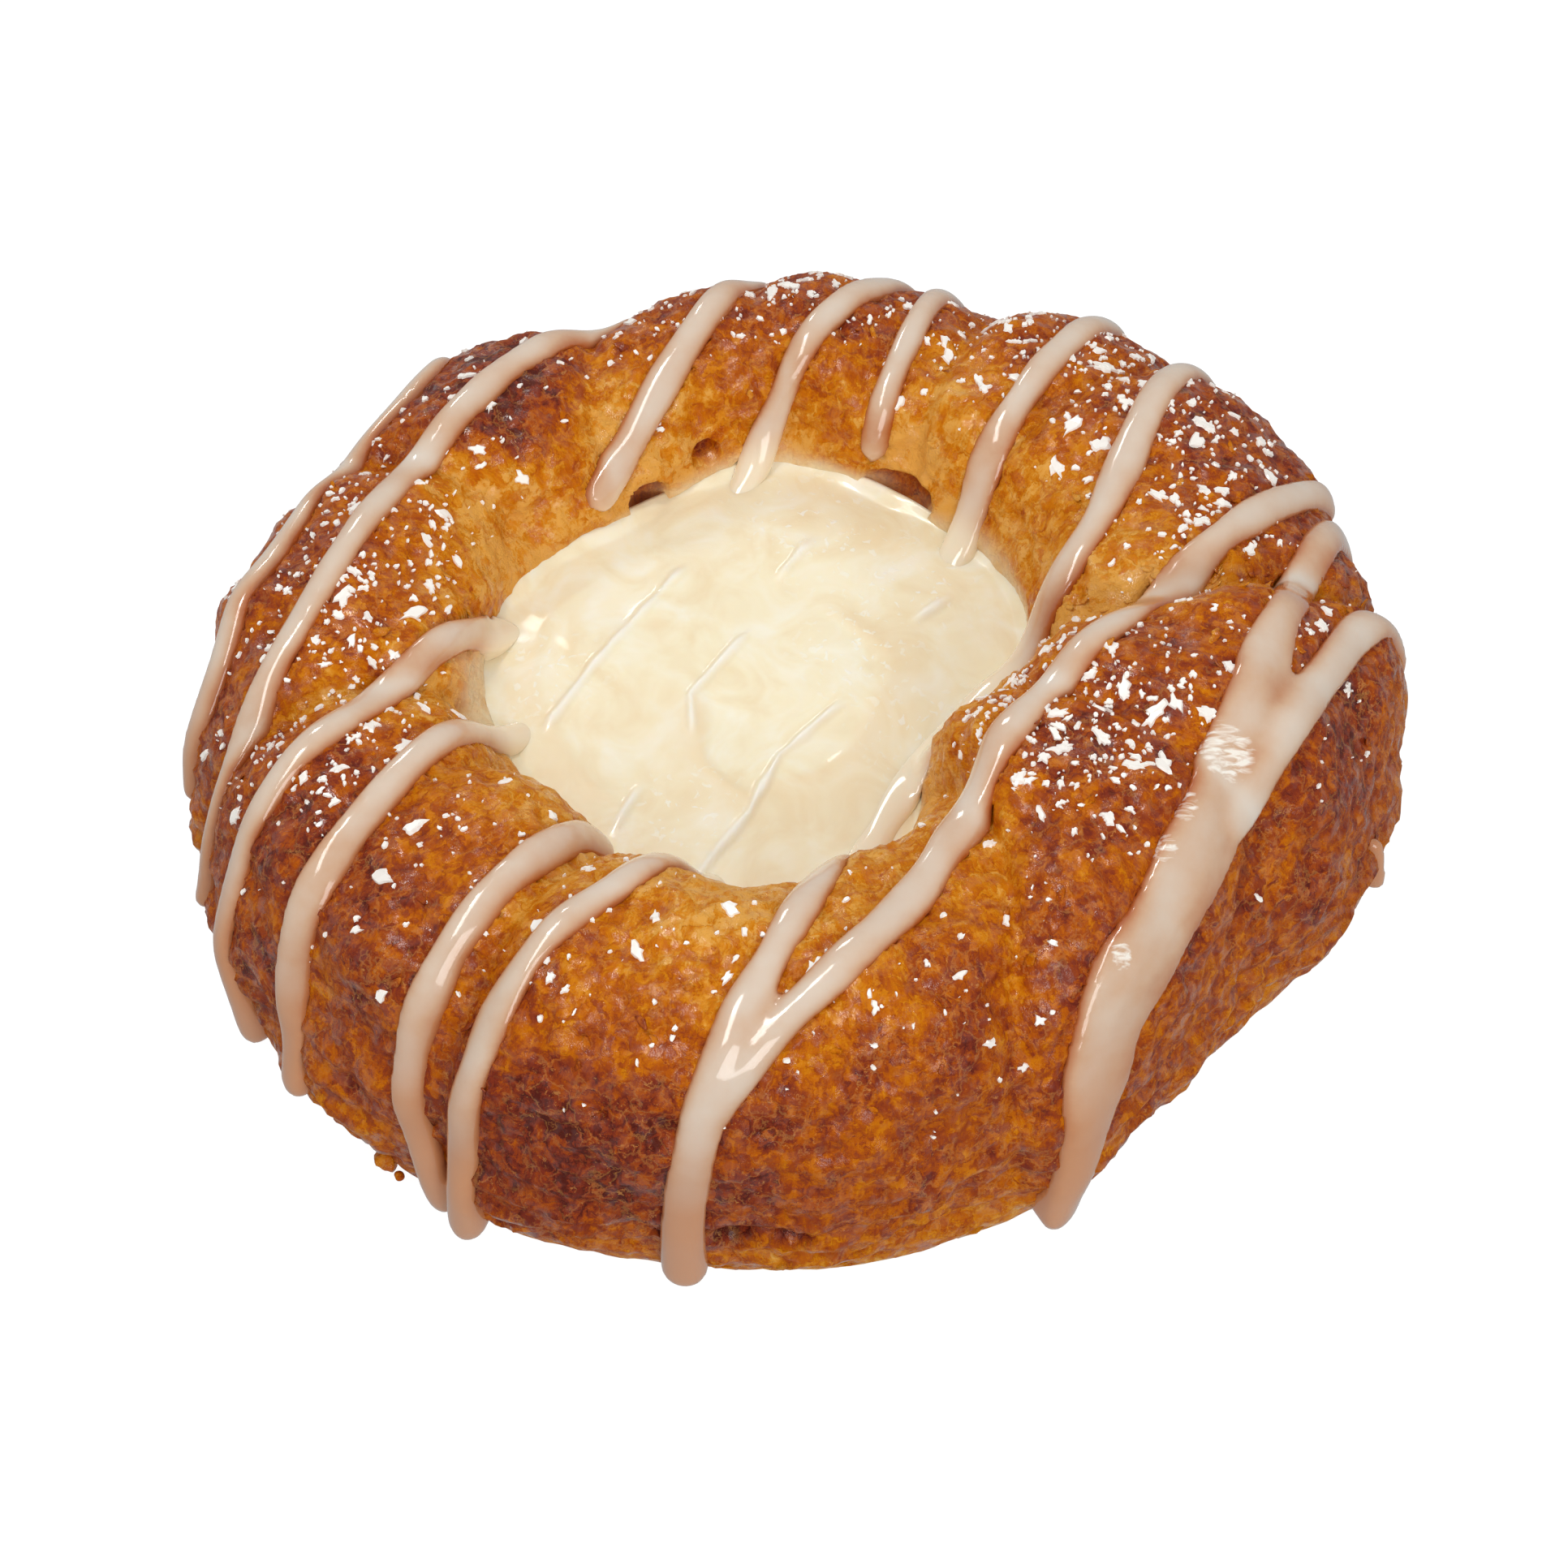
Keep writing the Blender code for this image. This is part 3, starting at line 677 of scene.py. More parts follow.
def bead(mesh, tree, points, widths, seed, feathered=0.0):
    """Adds a closed, rounded bead of icing that lies along the points and is sunk in the crust below."""
    points = evened(points, ROUTE_ROUNDS)
    last = len(points) - 1
    normals = [-DOWN if in_well(point) else tree.find_nearest(point)[1] for point in points]
    normals = [normal.normalized() for normal in evened(normals, NORMAL_ROUNDS)]
    lengths = [0.0]
    for a, b in zip(points, points[1:]):
        lengths.append(lengths[-1] + (b - a).length)
    halves, thicknesses, ends, sags = [], [], [], []
    for index, (point, normal) in enumerate(zip(points, normals)):
        tangent = (points[min(index + 1, last)] - points[max(index - 1, 0)]).normalized()
        width = between_stations(widths, along_of(point) / MM) * MM
        waver = noise.noise(Vector((lengths[index] / WIDTH_WAVER[1], seed, 0)))
        width += WIDTH_WAVER[0] * min(width, RUN_WIDTH) * waver
        narrow = min(width, RUN_WIDTH)
        width = narrow + (width - narrow) * smooth_step(point.z, *NARROWING)
        low = 1 - smooth_step(point.z, *DROPPING)
        width = (width - MERGE_GROWTH) * (1 + (DROP_SWELL - 1) * low)
        tip = min(lengths[index], lengths[-1] - lengths[index]) / (width / 2)
        ends.append(math.sqrt(max(1 - (1 - min(tip, 1.0)) ** 2, 0.0)))
        halves.append(tangent.cross(normal).normalized() * width / 2 * ends[-1])
        thicknesses.append((ICING_HEIGHT + (DROP_HEIGHT - ICING_HEIGHT) * low) * ends[-1])
        sags.append(-BRIDGED * (1 - low) * ends[-1])
    made = bmesh.ops.create_grid(mesh, x_segments=last, y_segments=AROUND_BEAD, size=1.0)["verts"]
    columns, bottoms = [], []
    for column in range(AROUND_BEAD + 1):
        across = math.cos(2 * math.pi * column / AROUND_BEAD)
        levels = []
        for point, normal, half in zip(points, normals, halves):
            beside = point + half * across
            foot = tree.ray_cast(beside + normal * 5 * MM, -normal, 12 * MM)[0] or beside
            levels.append((foot - beside).dot(normal))
        bottoms.append(levels)
        columns.append(evened([max(level, sag) for level, sag in zip(levels, sags)], LEVEL_ROUNDS))
    for vert in made:
        index = round((vert.co.x + 1) / 2 * last)
        column = round((vert.co.y + 1) / 2 * AROUND_BEAD)
        turn = 2 * math.pi * column / AROUND_BEAD
        across, up = math.cos(turn), math.sin(turn)
        if up > 0:
            thin = 1 - feathered * (1 - across) / 2
            level = columns[column][index] + thicknesses[index] * up * thin
        else:
            level = bottoms[column][index] + ICING_SINK * (up - 0.3)
        vert.co = points[index] + halves[index] * across + normals[index] * level
    bmesh.ops.remove_doubles(mesh, verts=made, dist=0.02 * MM)


plain_tree = tree_of(ring_of_dough(PLAIN_AROUND, 6, 30, False))
all_icing = bmesh.new()
for seed, (name, stroke) in enumerate(STROKES.items()):
    route = stroke_route(plain_tree, stroke, OTHER_SLOPES.get(name, RIM_SLOPE))
    lap = OTHER_LAPS.get(name, RIM_LAP)
    for stretch in runs_of(route, lambda point: not in_well(point, lap)):
        bead(all_icing, plain_tree, stretch, stroke[3], seed, FEATHERED.get(name, 0.0))
for angle, highest, lowest, width in DRIPS:
    outward = Vector((*at_angle(angle), 0))
    start = plain_tree.ray_cast(outward * ABOVE + Vector((0, 0, highest * MM)), -outward)[0]
    drip = [start, *run_down(plain_tree, start, Vector((0, 0, 0)), lowest * MM)]
    bead(all_icing, plain_tree, drip, (width,) * len(STATIONS), angle)
bmesh.ops.recalc_face_normals(all_icing, faces=all_icing.faces)

# Set sugar glaze: smooth and glossy, cream to pinkish beige where it is thick, and so clear where it is
# thin that the crust tints it tan. Low on the outer wall it is tan and darker, partly the crust showing
# through and partly painted shade and bounce light from the crust, and white streaks on the wide stroke are
# painted highlights. Where it meets the cheese it takes the cheese's cream colour.
icing_finish = new_material("set_sugar_glaze")
depth, creamy, painted_glint_spots = (
    add_node(icing_finish, "Attribute", "Fac", {"attribute_name": layer})
    for layer in ("glaze_depth", "creaminess", "painted_glint_spots")
)
place = add_node(icing_finish, "TexCoord", "Object")
clouds = add_node(icing_finish, "TexNoise", "Fac", inputs={
    "Vector": place, "Scale": 1 / (2.6 * MM), "Detail": 4.0, "Roughness": 0.55,
})
cloudy_depth = add_node(icing_finish, "Math", 0, {"operation": "MULTIPLY_ADD"}, {
    0: clouds, 1: 0.24, 2: depth,
})
glaze_colour = add_node(icing_finish, "ValToRGB", "Color", inputs={"Fac": cloudy_depth}, stops=(
    (0.1, "#b25c28"), (0.3, "#c4885e"), (0.5, "#d4ae8e"), (0.7, "#dcc5af"), (0.95, "#e2d5c6"),
))
# Tan and darker low on the outer wall: partly the crust showing through the thin run, partly painted shade
# and bounce light from the crust.
icing_height = add_node(icing_finish, "SeparateXYZ", "Z", inputs={0: place})
low_tint_and_shade = add_node(icing_finish, "MapRange", "Result", inputs={
    "Value": icing_height, "From Min": 14 * MM, "From Max": 27 * MM, "To Min": 0.9, "To Max": 0.0,
})
# Painted highlights: white streaks of glints painted on the wide stroke.
streak_place = add_node(icing_finish, "VectorMath", 0, {"operation": "MULTIPLY"}, {
    0: place, 1: (0.3, 1.4, 1.4),
})
streaks = add_node(icing_finish, "TexNoise", "Fac", inputs={
    "Vector": streak_place, "Scale": 1 / (0.7 * MM), "Detail": 3.0, "Distortion": 0.5,
})
painted_glint_streaks = add_node(icing_finish, "Math", 0, {"operation": "MULTIPLY"}, {
    0: painted_glint_spots, 1: streaks,
})
painted_glint = add_node(icing_finish, "MapRange", "Result", inputs={
    "Value": painted_glint_streaks, "From Min": 0.4, "From Max": 0.62, "To Max": 0.85,
})
icing_colour = glaze_colour
for cover, hex_code in ((low_tint_and_shade, "#ca8c60"), (creamy, "#f6e7ca"), (painted_glint, "#fffaf0")):
    icing_colour = add_node(icing_finish, "Mix", "Result", {"data_type": "RGBA"}, {
        "Factor": cover, "A": icing_colour, "B": linear(hex_code),
    })
icing_shader = add_node(icing_finish, "BsdfPrincipled", "BSDF", inputs={
    "Base Color": icing_colour, "Roughness": 0.13, "IOR": 1.47,
    "Subsurface Weight": 0.2, "Subsurface Radius": (1.0, 0.7, 0.5), "Subsurface Scale": 1.0 * MM,
    "Coat Weight": 0.4, "Coat Roughness": 0.04,
})
add_node(icing_finish, "OutputMaterial", inputs={"Surface": icing_shader})


def applied(made):
    """Applies the piece's modifiers to its mesh."""
    graph = bpy.context.evaluated_depsgraph_get()
    data = bpy.data.meshes.new_from_object(made.evaluated_get(graph))
    made.modifiers.clear()
    made.data = data
    data.shade_smooth()


icing = shown("icing_strokes", all_icing, icing_finish)
merged = icing.modifiers.new("one_glaze", "REMESH")
merged.mode = "VOXEL"
merged.voxel_size = ICING_VOXEL
relaxed = icing.modifiers.new("surface_tension", "SMOOTH")
relaxed.factor = 0.5
relaxed.iterations = ICING_SMOOTHING
applied(icing)
icing.data.materials.clear()
icing.data.materials.append(icing_finish)

# Painted highlights: white glint streaks painted on the wide stroke: (x, y, radius), in millimetres
PAINTED_GLINT_SPOTS = (
    (39.5, -16.7, 3.0), (35.1, -22.7, 1.7), (33.1, -26.9, 1.7), (29.2, -30.7, 1.5), (29.2, -36.9, 1.2),
)
PAINTED_GLINT_GAIN = 1.6
OPAQUE_DEPTH = 1.6 * MM  # the glaze hides the crust where it is this thick
DEPTH_ROUNDS = 4
COVER = 0.3 * MM  # how deep the crust lies under the icing at least
POKES = 0.6 * MM  # how far a flake may have poked through it
SUNKEN = 1.5 * MM  # and how far where the icing faces up
FACING_UP = 0.4


def near_spots(point, spots):
    """How near a point is, in plan, to spots given as (x, y, radius) in millimetres: 1 at one's middle."""
    return sum(
        math.exp(-((point.x / MM - x) ** 2 + (point.y / MM - y) ** 2) / radius ** 2)
        for x, y, radius in spots
    )


overs = []
for vert in icing.data.vertices:
    point, normal, _, _ = plain_tree.find_nearest(vert.co)
    overs.append((vert.co - point).dot(normal))
for _ in range(DEPTH_ROUNDS):
    sums, counts = overs[:], [1] * len(overs)
    for edge in icing.data.edges:
        a, b = edge.vertices
        sums[a] += overs[b]
        sums[b] += overs[a]
        counts[a] += 1
        counts[b] += 1
    overs = [total / count for total, count in zip(sums, counts)]
for layer in ("glaze_depth", "creaminess", "painted_glint_spots"):
    icing.data.attributes.new(layer, "FLOAT", "POINT")
depths, creams, painted_glint_values = (
    icing.data.attributes[layer].data for layer in ("glaze_depth", "creaminess", "painted_glint_spots")
)
for vert, over in zip(icing.data.vertices, overs):
    depths[vert.index].value = min(max(over / OPAQUE_DEPTH, 0.0), 1.0)
    rim = math.hypot(vert.co.x, vert.co.y) - well_radius(angle_of(*vert.co))
    rise = vert.co.z - CHEESE_LEVEL
    creams[vert.index].value = (
        (1 - smooth_step(rim, -1 * MM, 5 * MM)) * (1 - smooth_step(rise, 1 * MM, 6 * MM))
    )
    # Painted highlights on the wide stroke.
    painted_glint_values[vert.index].value = min(PAINTED_GLINT_GAIN * near_spots(vert.co, PAINTED_GLINT_SPOTS), 1.0)

# Under the icing the crust lies a little deeper, so that no flake of it pokes through.
icing_tree = bvhtree.BVHTree.FromObject(icing, bpy.context.evaluated_depsgraph_get())
for vert in dough_crust.data.vertices:
    normal = vert.normal.copy()
    hit = icing_tree.ray_cast(vert.co + normal * DROP_HEIGHT, -normal, DROP_HEIGHT + POKES)[0]
    if hit and (hit - vert.co).dot(normal) < COVER:
        vert.co = hit - normal * COVER
    skin, slope, _, _ = icing_tree.ray_cast(Vector((vert.co.x, vert.co.y, ABOVE)), DOWN)
    if skin and slope.z > FACING_UP and skin.z - COVER < vert.co.z < skin.z + SUNKEN:
        vert.co.z = skin.z - COVER
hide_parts("dough_ring")

# The cheese is sweetened cream cheese with egg, piped into the well and baked to a soft, shiny skin. The
# icing's strokes sank into it and left ridges, and the piping left a round swirl near its middle.
CHEESE_CROWN = 1.8 * MM
CHEESE_RIM_RISE = 1.0 * MM  # how far it creeps up the dough at its edge
CHEESE_LAP = 0.8 * MM  # how far it lies under the dough's edge
CHEESE_WAVE = 1.0 * MM
CHEESE_RIPPLE = 0.1 * MM
RIDGE_HEIGHT = 0.5 * MM
RIDGE_WIDTH = 0.4 * MM
CHEESE_RINGS = 110
CHEESE_AROUND = 380
# Raised lines that the icing's strokes left on the cheese, each through a few points (x, y) in millimetres
RIDGES = (
    ((-10.8, 17.9), (-18.2, 6.8), (-25.0, -4.2)),
    ((-4.2, 9.2), (-10.4, 0.4), (-10.1, -5.1)),
    ((4.9, -0.3), (-1.7, -7.0), (-4.6, -14.0), (-10.4, -22.2)),
    ((15.7, 14.2), (10.7, 9.2)),
    ((-14.5, -9.7), (-18.1, -16.3)),
    ((2.0, 21.0), (-2.5, 14.5)),
)
# Round marks left by the piping: (centre x, centre y, radius, first angle, last angle, height), in
# millimetres and degrees
SWIRLS = (
    (-4.0, 2.0, 12.5, -100, 62, 0.3),
    (0.0, -3.0, 10.0, 150, 262, 0.35),
    (-9.0, 3.0, 17.0, 120, 250, 0.2),
)
SWIRL_WAVER = (2.5 * MM, 9.0 * MM)  # how far a swirl strays from its circle, and the length of that
SWIRL_EDGE = (-1.2 * MM, 0.3 * MM, 2.5 * MM)  # where it rises, inside and outside its circle, and its fall
# Where small lumps of curd show: (x, y, radius), in millimetres
CURDLED = (
    (11.7, 14.6, 6), (13.3, -5.0, 6), (-24.8, 3.5, 5), (-10.5, -13.6, 5), (1.4, 23.0, 7), (5.0, 5.0, 5),
)
# Strength of the painted highlight along the ridges, then the swirls' golden tint for each millimetre and
# its most.
RIDGE_HIGHLIGHT, SWIRL_TONE, DEEPEST_SWIRL = 0.95, 1.3, 0.5


def swirl_relief(x, y):
    """The low rounds left by the piping nozzle."""
    total = 0.0
    stray, length = SWIRL_WAVER
    x += stray * noise.noise(Vector((x, y, 0)) / length)
    y += stray * noise.noise(Vector((x, y, length)) / length)
    inner, outer, fall = SWIRL_EDGE
    for middle_x, middle_y, radius, first, last, height in SWIRLS:
        spot = Vector((x - middle_x * MM, y - middle_y * MM))
        angle = math.degrees(math.atan2(spot.y, spot.x))
        middle, half = (first + last) / 2, (last - first) / 2
        fade = 1 - smooth_step(abs(turn_between(angle, middle)), half * 0.6, half)
        away = spot.length - radius * MM
        total += height * MM * fade * smooth_step(away, inner, outer) * math.exp(-max(away, 0) / fall)
    return total


def ridge_relief(x, y):
    """The raised lines across the cheese, which fade at both ends."""
    spot = Vector((x, y)) / MM
    total = 0.0
    for line in RIDGES:
        ends = min((spot - Vector(line[0])).length, (spot - Vector(line[-1])).length)
        for a, b in zip(line, line[1:]):
            start, along = Vector(a), Vector(b) - Vector(a)
            share = (spot - start).dot(along) / along.length_squared
            if 0 <= share <= 1:
                away = (spot - start - along * share).length * MM
                away += 0.3 * MM * noise.noise(Vector((x, y, 0)) / (3 * MM))
                fade = smooth_step(ends, 0, 3)
                total = max(total, RIDGE_HEIGHT * fade * math.exp(-((away / RIDGE_WIDTH) ** 2)))
    return total

# Baked cream cheese: a warm ivory custard with a soft, satiny skin, paler where its curds stand up, with
# a painted highlight along each ridge, and a little golden in its swirls.
cheese_finish = new_material("baked_cream_cheese")
place = add_node(cheese_finish, "TexCoord", "Object")
ridge_highlights, swirls, lump_places = (
    add_node(cheese_finish, "Attribute", "Fac", {"attribute_name": layer})
    for layer in ("ridge_highlights", "swirls", "curdling")
)
curds = add_node(cheese_finish, "TexNoise", "Fac", inputs={
    "Vector": place, "Scale": 1 / (7 * MM), "Detail": 3.0, "Roughness": 0.5, "Distortion": 1.5,
})
cheese_colour = add_node(cheese_finish, "ValToRGB", "Color", inputs={"Fac": curds}, stops=(
    (0.3, "#f6e4bc"), (0.5, "#fcefcd"), (0.7, "#fff7e0"),
))
lumps, film = (
    add_node(cheese_finish, "TexNoise", "Fac", inputs={
        "Vector": place, "Scale": 1 / size, "Detail": detail, "Roughness": rough, "Distortion": twist,
    })
    for size, detail, rough, twist in ((1.0 * MM, 2.0, 0.5, 0.6), (1.6 * MM, 3.0, 0.6, 0.0))
)
lump_shape = add_node(cheese_finish, "MapRange", "Result", inputs={
    "Value": lumps, "From Min": 0.6, "From Max": 0.67,
})
lumpy = add_node(cheese_finish, "Math", 0, {"operation": "MULTIPLY"}, {
    0: lump_shape, 1: lump_places,
})
# Painted highlight: the ridges are painted white, as the curds are.
curds_and_highlights = add_node(cheese_finish, "Math", 0, {"operation": "MAXIMUM"}, {
    0: lumpy, 1: ridge_highlights,
})
for cover, hex_code in ((swirls, "#f0d3a4"), (curds_and_highlights, "#fffaea")):
    cheese_colour = add_node(cheese_finish, "Mix", "Result", {"data_type": "RGBA"}, {
        "Factor": cover, "A": cheese_colour, "B": linear(hex_code),
    })
film_and_lumps = add_node(cheese_finish, "Math", 0, {"operation": "ADD"}, {
    0: film, 1: lumpy,
})
cheese_bump = add_node(cheese_finish, "Bump", "Normal", inputs={
    "Strength": 0.2, "Distance": 0.2 * MM, "Height": film_and_lumps,
})
cheese_shader = add_node(cheese_finish, "BsdfPrincipled", "BSDF", inputs={
    "Base Color": cheese_colour, "Roughness": 0.42, "Normal": cheese_bump, "IOR": 1.46,
    "Subsurface Weight": 0.25, "Subsurface Radius": (1.0, 0.8, 0.5), "Subsurface Scale": 1.5 * MM,
    "Coat Weight": 0.4, "Coat Roughness": 0.06,
})
add_node(cheese_finish, "OutputMaterial", inputs={"Surface": cheese_shader})

skin = [(0, CHEESE_LEVEL + CHEESE_CROWN)]
for step in range(1, CHEESE_RINGS + 1):
    share = step / CHEESE_RINGS
    skin.append((WELL_RADIUS * share, CHEESE_LEVEL + CHEESE_CROWN * (1 - share * share)))
cheese_bottom = FLOOR + 1 * MM
cheese_mesh = spun([*skin, (WELL_RADIUS, cheese_bottom), (0, cheese_bottom)], CHEESE_AROUND)
curd_layer = cheese_mesh.verts.layers.float.new("curdling")
ridge_highlight_layer = cheese_mesh.verts.layers.float.new("ridge_highlights")
swirl_layer = cheese_mesh.verts.layers.float.new("swirls")
for vert in cheese_mesh.verts:
    angle = angle_of(*vert.co)
    share = math.hypot(vert.co.x, vert.co.y) / WELL_RADIUS
    x, y = at_angle(angle, share * (well_radius(angle) + CHEESE_LAP))
    lift = 0.0
    if vert.co.z > CHEESE_LEVEL - 1 * MM:
        lift = CHEESE_WAVE * (1 - share ** 4) * noise.noise(Vector((x, y, 0)) / (14 * MM))
        lift += CHEESE_RIPPLE * noise.noise(Vector((x, y, 4 * MM)) / (4 * MM))
        creep = 0.04 * noise.noise(Vector((x, y, 0)) / (5 * MM))
        ridge, swirled = ridge_relief(x, y), swirl_relief(x, y)
        lift += ridge + swirled
        # Painted highlight along each ridge.
        vert[ridge_highlight_layer] = RIDGE_HIGHLIGHT * ridge / RIDGE_HEIGHT
        vert[swirl_layer] = min(SWIRL_TONE * swirled / MM, DEEPEST_SWIRL)
        lift += CHEESE_RIM_RISE * smooth_step(share + creep, 0.93, 1.01)
    vert.co = (x, y, vert.co.z + lift)
    vert[curd_layer] = min(near_spots(vert.co, CURDLED), 1.0)
cheese = shown("cheese_top", cheese_mesh, cheese_finish)
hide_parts("cheese_filling")

# Flakes of dried sugar glaze, cracked off as the crust cooled, lie on the crests in clusters, and the same
# white chips stand for glints of light on the glazed crust: partly sugar, partly painted highlights. Each
# is an angular, opaque white chip, from under half a millimetre to a few millimetres long.
SUGAR_SEED = 11
CHIP_THICKNESS = 0.22 * MM
CHIP_SIZE = 0.24 * MM  # half the width of a middling chip
CHIP_SPREAD = 0.68
LARGEST_CHIP = 1.0 * MM
CHIP_GAP = 0.3  # share of its size that a chip's sides may stand off the crust
CHIP_EDGE = 0.15 * MM
# (angle, share from well to outside, spread in degrees, spread in share, how many)
SUGAR_AND_GLINT_CLUSTERS = (
    (100, 0.62, 12, 0.16, 168),
    (80, 0.6, 12, 0.16, 144),
    (55, 0.62, 8, 0.14, 144),
    (35, 0.6, 14, 0.2, 456),
    (140, 0.5, 8, 0.2, 82),
    (168, 0.5, 12, 0.24, 480),
    (195, 0.55, 10, 0.22, 264),
    (220, 0.5, 10, 0.22, 120),
    (262, 0.5, 18, 0.26, 120),
    (285, 0.75, 12, 0.14, 48),
    (338, 0.3, 14, 0.18, 552),
    (325, 0.55, 10, 0.16, 168),
    (352, 0.75, 8, 0.12, 120),
    (15, 0.5, 8, 0.2, 96),
)
sugar_and_glint_finish = new_material("dried_sugar_glaze_and_glints")
# White chips: sugar, and painted highlights where they stand for glints.
sugar_and_glint_shader = add_node(sugar_and_glint_finish, "BsdfPrincipled", "BSDF", inputs={
    "Base Color": linear("#fdf8f0"), "Roughness": 0.45, "IOR": 1.5, "Coat Weight": 0.2,
})
add_node(sugar_and_glint_finish, "OutputMaterial", inputs={"Surface": sugar_and_glint_shader})
fine_tree = bvhtree.BVHTree.FromObject(dough_crust, bpy.context.evaluated_depsgraph_get())


def spot_on_crust(angle, share):
    """The crust's uppermost point and its normal, at this angle and share from well to outside."""
    radius = well_radius(angle) + share * (outer_radius(angle) - well_radius(angle))
    return fine_tree.ray_cast(Vector((*at_angle(angle, radius), ABOVE)), DOWN)[:2]


def scattered(clusters, draw):
    """Angles and shares that are drawn round the middle of each cluster."""
    for angle, share, angle_spread, share_spread, count in clusters:
        for _ in range(count):
            yield angle + draw.gauss(0, angle_spread), share + draw.gauss(0, share_spread)


sugar_draw = random.Random(SUGAR_SEED)
sugar_and_glint_mesh = bmesh.new()
for angle, share in scattered(SUGAR_AND_GLINT_CLUSTERS, sugar_draw):
    size = min(CHIP_SIZE * math.exp(sugar_draw.gauss(0, CHIP_SPREAD)), LARGEST_CHIP)
    stretch, spin = sugar_draw.uniform(1.0, 2.1), sugar_draw.uniform(0, math.pi)
    if not 0.1 < share < 0.95:
        continue
    spot, normal = spot_on_crust(angle, share)
    if spot is None:
        continue
    right = normal.orthogonal().normalized()
    ahead = normal.cross(right)
    gap = CHIP_GAP * size * stretch
    sides = (right, -right, ahead, -ahead)
    if any(fine_tree.find_nearest(spot + side * size * stretch)[3] > gap for side in sides):
        continue
    corners = 8 + round(size / CHIP_EDGE)
    ragged = [sugar_draw.uniform(0.42, 1.15) for _ in range(corners)]
    chip = bmesh.ops.create_cone(
        sugar_and_glint_mesh, cap_ends=True, segments=corners, radius1=1.0, radius2=0.75, depth=1.0
    )["verts"]
    for vert in chip:
        corner = round(math.atan2(vert.co.y, vert.co.x) / (2 * math.pi) * corners) % corners
        long, wide = vert.co.x * stretch * ragged[corner], vert.co.y * ragged[corner]
        x = long * math.cos(spin) - wide * math.sin(spin)
        y = long * math.sin(spin) + wide * math.cos(spin)
        foot = fine_tree.find_nearest(spot + (right * x + ahead * y) * size)[0]
        vert.co = foot + normal * (CHIP_THICKNESS if vert.co.z > 0 else -0.5 * CHIP_THICKNESS)
sugar_and_glints = shown("sugar_flakes_and_glints", sugar_and_glint_mesh, sugar_and_glint_finish)
sugar_and_glints.data.shade_flat()

# Torn flakes of the top layers stand up from the crust, most of them along the fold, and two crumbs lie at
# the foot. They are the same laminated dough, as thin as paper and crisp, or a rough round bit of it.
FLAKE_SEED = 5
FLAKE_SIZE = 0.7 * MM
FLAKE_WIDTH = 0.55  # of its length
FLAKE_POINT = 0.6  # how much it narrows towards its ends
FLAKE_CURL = 0.32
FLAKE_THICKNESS = 0.12 * MM
# (angle, share from well to outside, spread in degrees, spread in share, how many)
TORN_PLACES = (
    (9, 0.5, 2.5, 0.3, 46),
    (345, 0.55, 26, 0.25, 16),
    (60, 0.5, 30, 0.2, 12),
    (150, 0.5, 34, 0.2, 14),
    (252, 0.75, 30, 0.14, 26),
)
CRUMBS = ((-38.9 * MM, -39.9 * MM, 1.1 * MM), (-37.8 * MM, -41.4 * MM, 0.5 * MM))  # (x, y, radius)
CRUMB_TONE = 0.35
torn_draw = random.Random(FLAKE_SEED)
torn_mesh = bmesh.new()
torn_browning = torn_mesh.verts.layers.float.new("browning")
for angle, share in scattered(TORN_PLACES, torn_draw):
    share = min(max(share, 0.12), 0.93)
    size, spin = FLAKE_SIZE * torn_draw.uniform(0.5, 1.3), torn_draw.uniform(0, 2 * math.pi)
    baked = browning(angle % 360, BELLY_REACH * share) + torn_draw.uniform(-0.25, 0.1)
    spot, normal = spot_on_crust(angle, share)
    right = Vector((math.cos(spin), math.sin(spin), 0)).cross(normal).normalized()
    ahead = normal.cross(right)
    sheet = bmesh.ops.create_grid(torn_mesh, x_segments=4, y_segments=3, size=1.0)["verts"]
    for vert in sheet:
        x = vert.co.x * (1 + torn_draw.uniform(-0.15, 0.15))
        y = FLAKE_WIDTH * vert.co.y * (1 + torn_draw.uniform(-0.4, 0.3))
        y *= 1 - FLAKE_POINT * vert.co.x ** 2
        foot = fine_tree.find_nearest(spot + (right * x + ahead * y) * size)[0]
        lift = FLAKE_CURL * size * max(x + 0.5, 0) ** 2
        vert.co = foot + normal * (lift + 0.3 * FLAKE_THICKNESS)
        vert[torn_browning] = baked
bmesh.ops.solidify(torn_mesh, geom=torn_mesh.faces[:], thickness=FLAKE_THICKNESS)
for x, y, radius in CRUMBS:
    crumb = bmesh.ops.create_icosphere(torn_mesh, subdivisions=3, radius=radius)["verts"]
    for vert in crumb:
        lumped = vert.co * (1 + 0.5 * noise.noise(vert.co / (0.8 * MM)))
        vert.co = (x + lumped.x, y + lumped.y, radius + max(lumped.z, -radius))
        vert[torn_browning] = CRUMB_TONE
torn_flakes = shown("torn_flakes", torn_mesh, crust_finish)

# A plain white table under soft, even light, as in a product photograph.
bpy.ops.mesh.primitive_circle_add(vertices=96, radius=20.0, fill_type="NGON")
table_top = bpy.context.object
table_top.name = "white_table"
table_finish = new_material("white_table")
table_glow = add_node(table_finish, "Emission", 0, inputs={
    "Color": linear("#ffffff"), "Strength": 0.95,
})
table_matte = add_node(table_finish, "BsdfDiffuse", 0, inputs={"Color": (0.15, 0.15, 0.15, 1)})
table_shader = add_node(table_finish, "AddShader", 0, inputs={0: table_glow, 1: table_matte})
add_node(table_finish, "OutputMaterial", inputs={"Surface": table_shader})
table_top.data.materials.append(table_finish)
table_top.visible_diffuse = False
table_top.visible_glossy = False

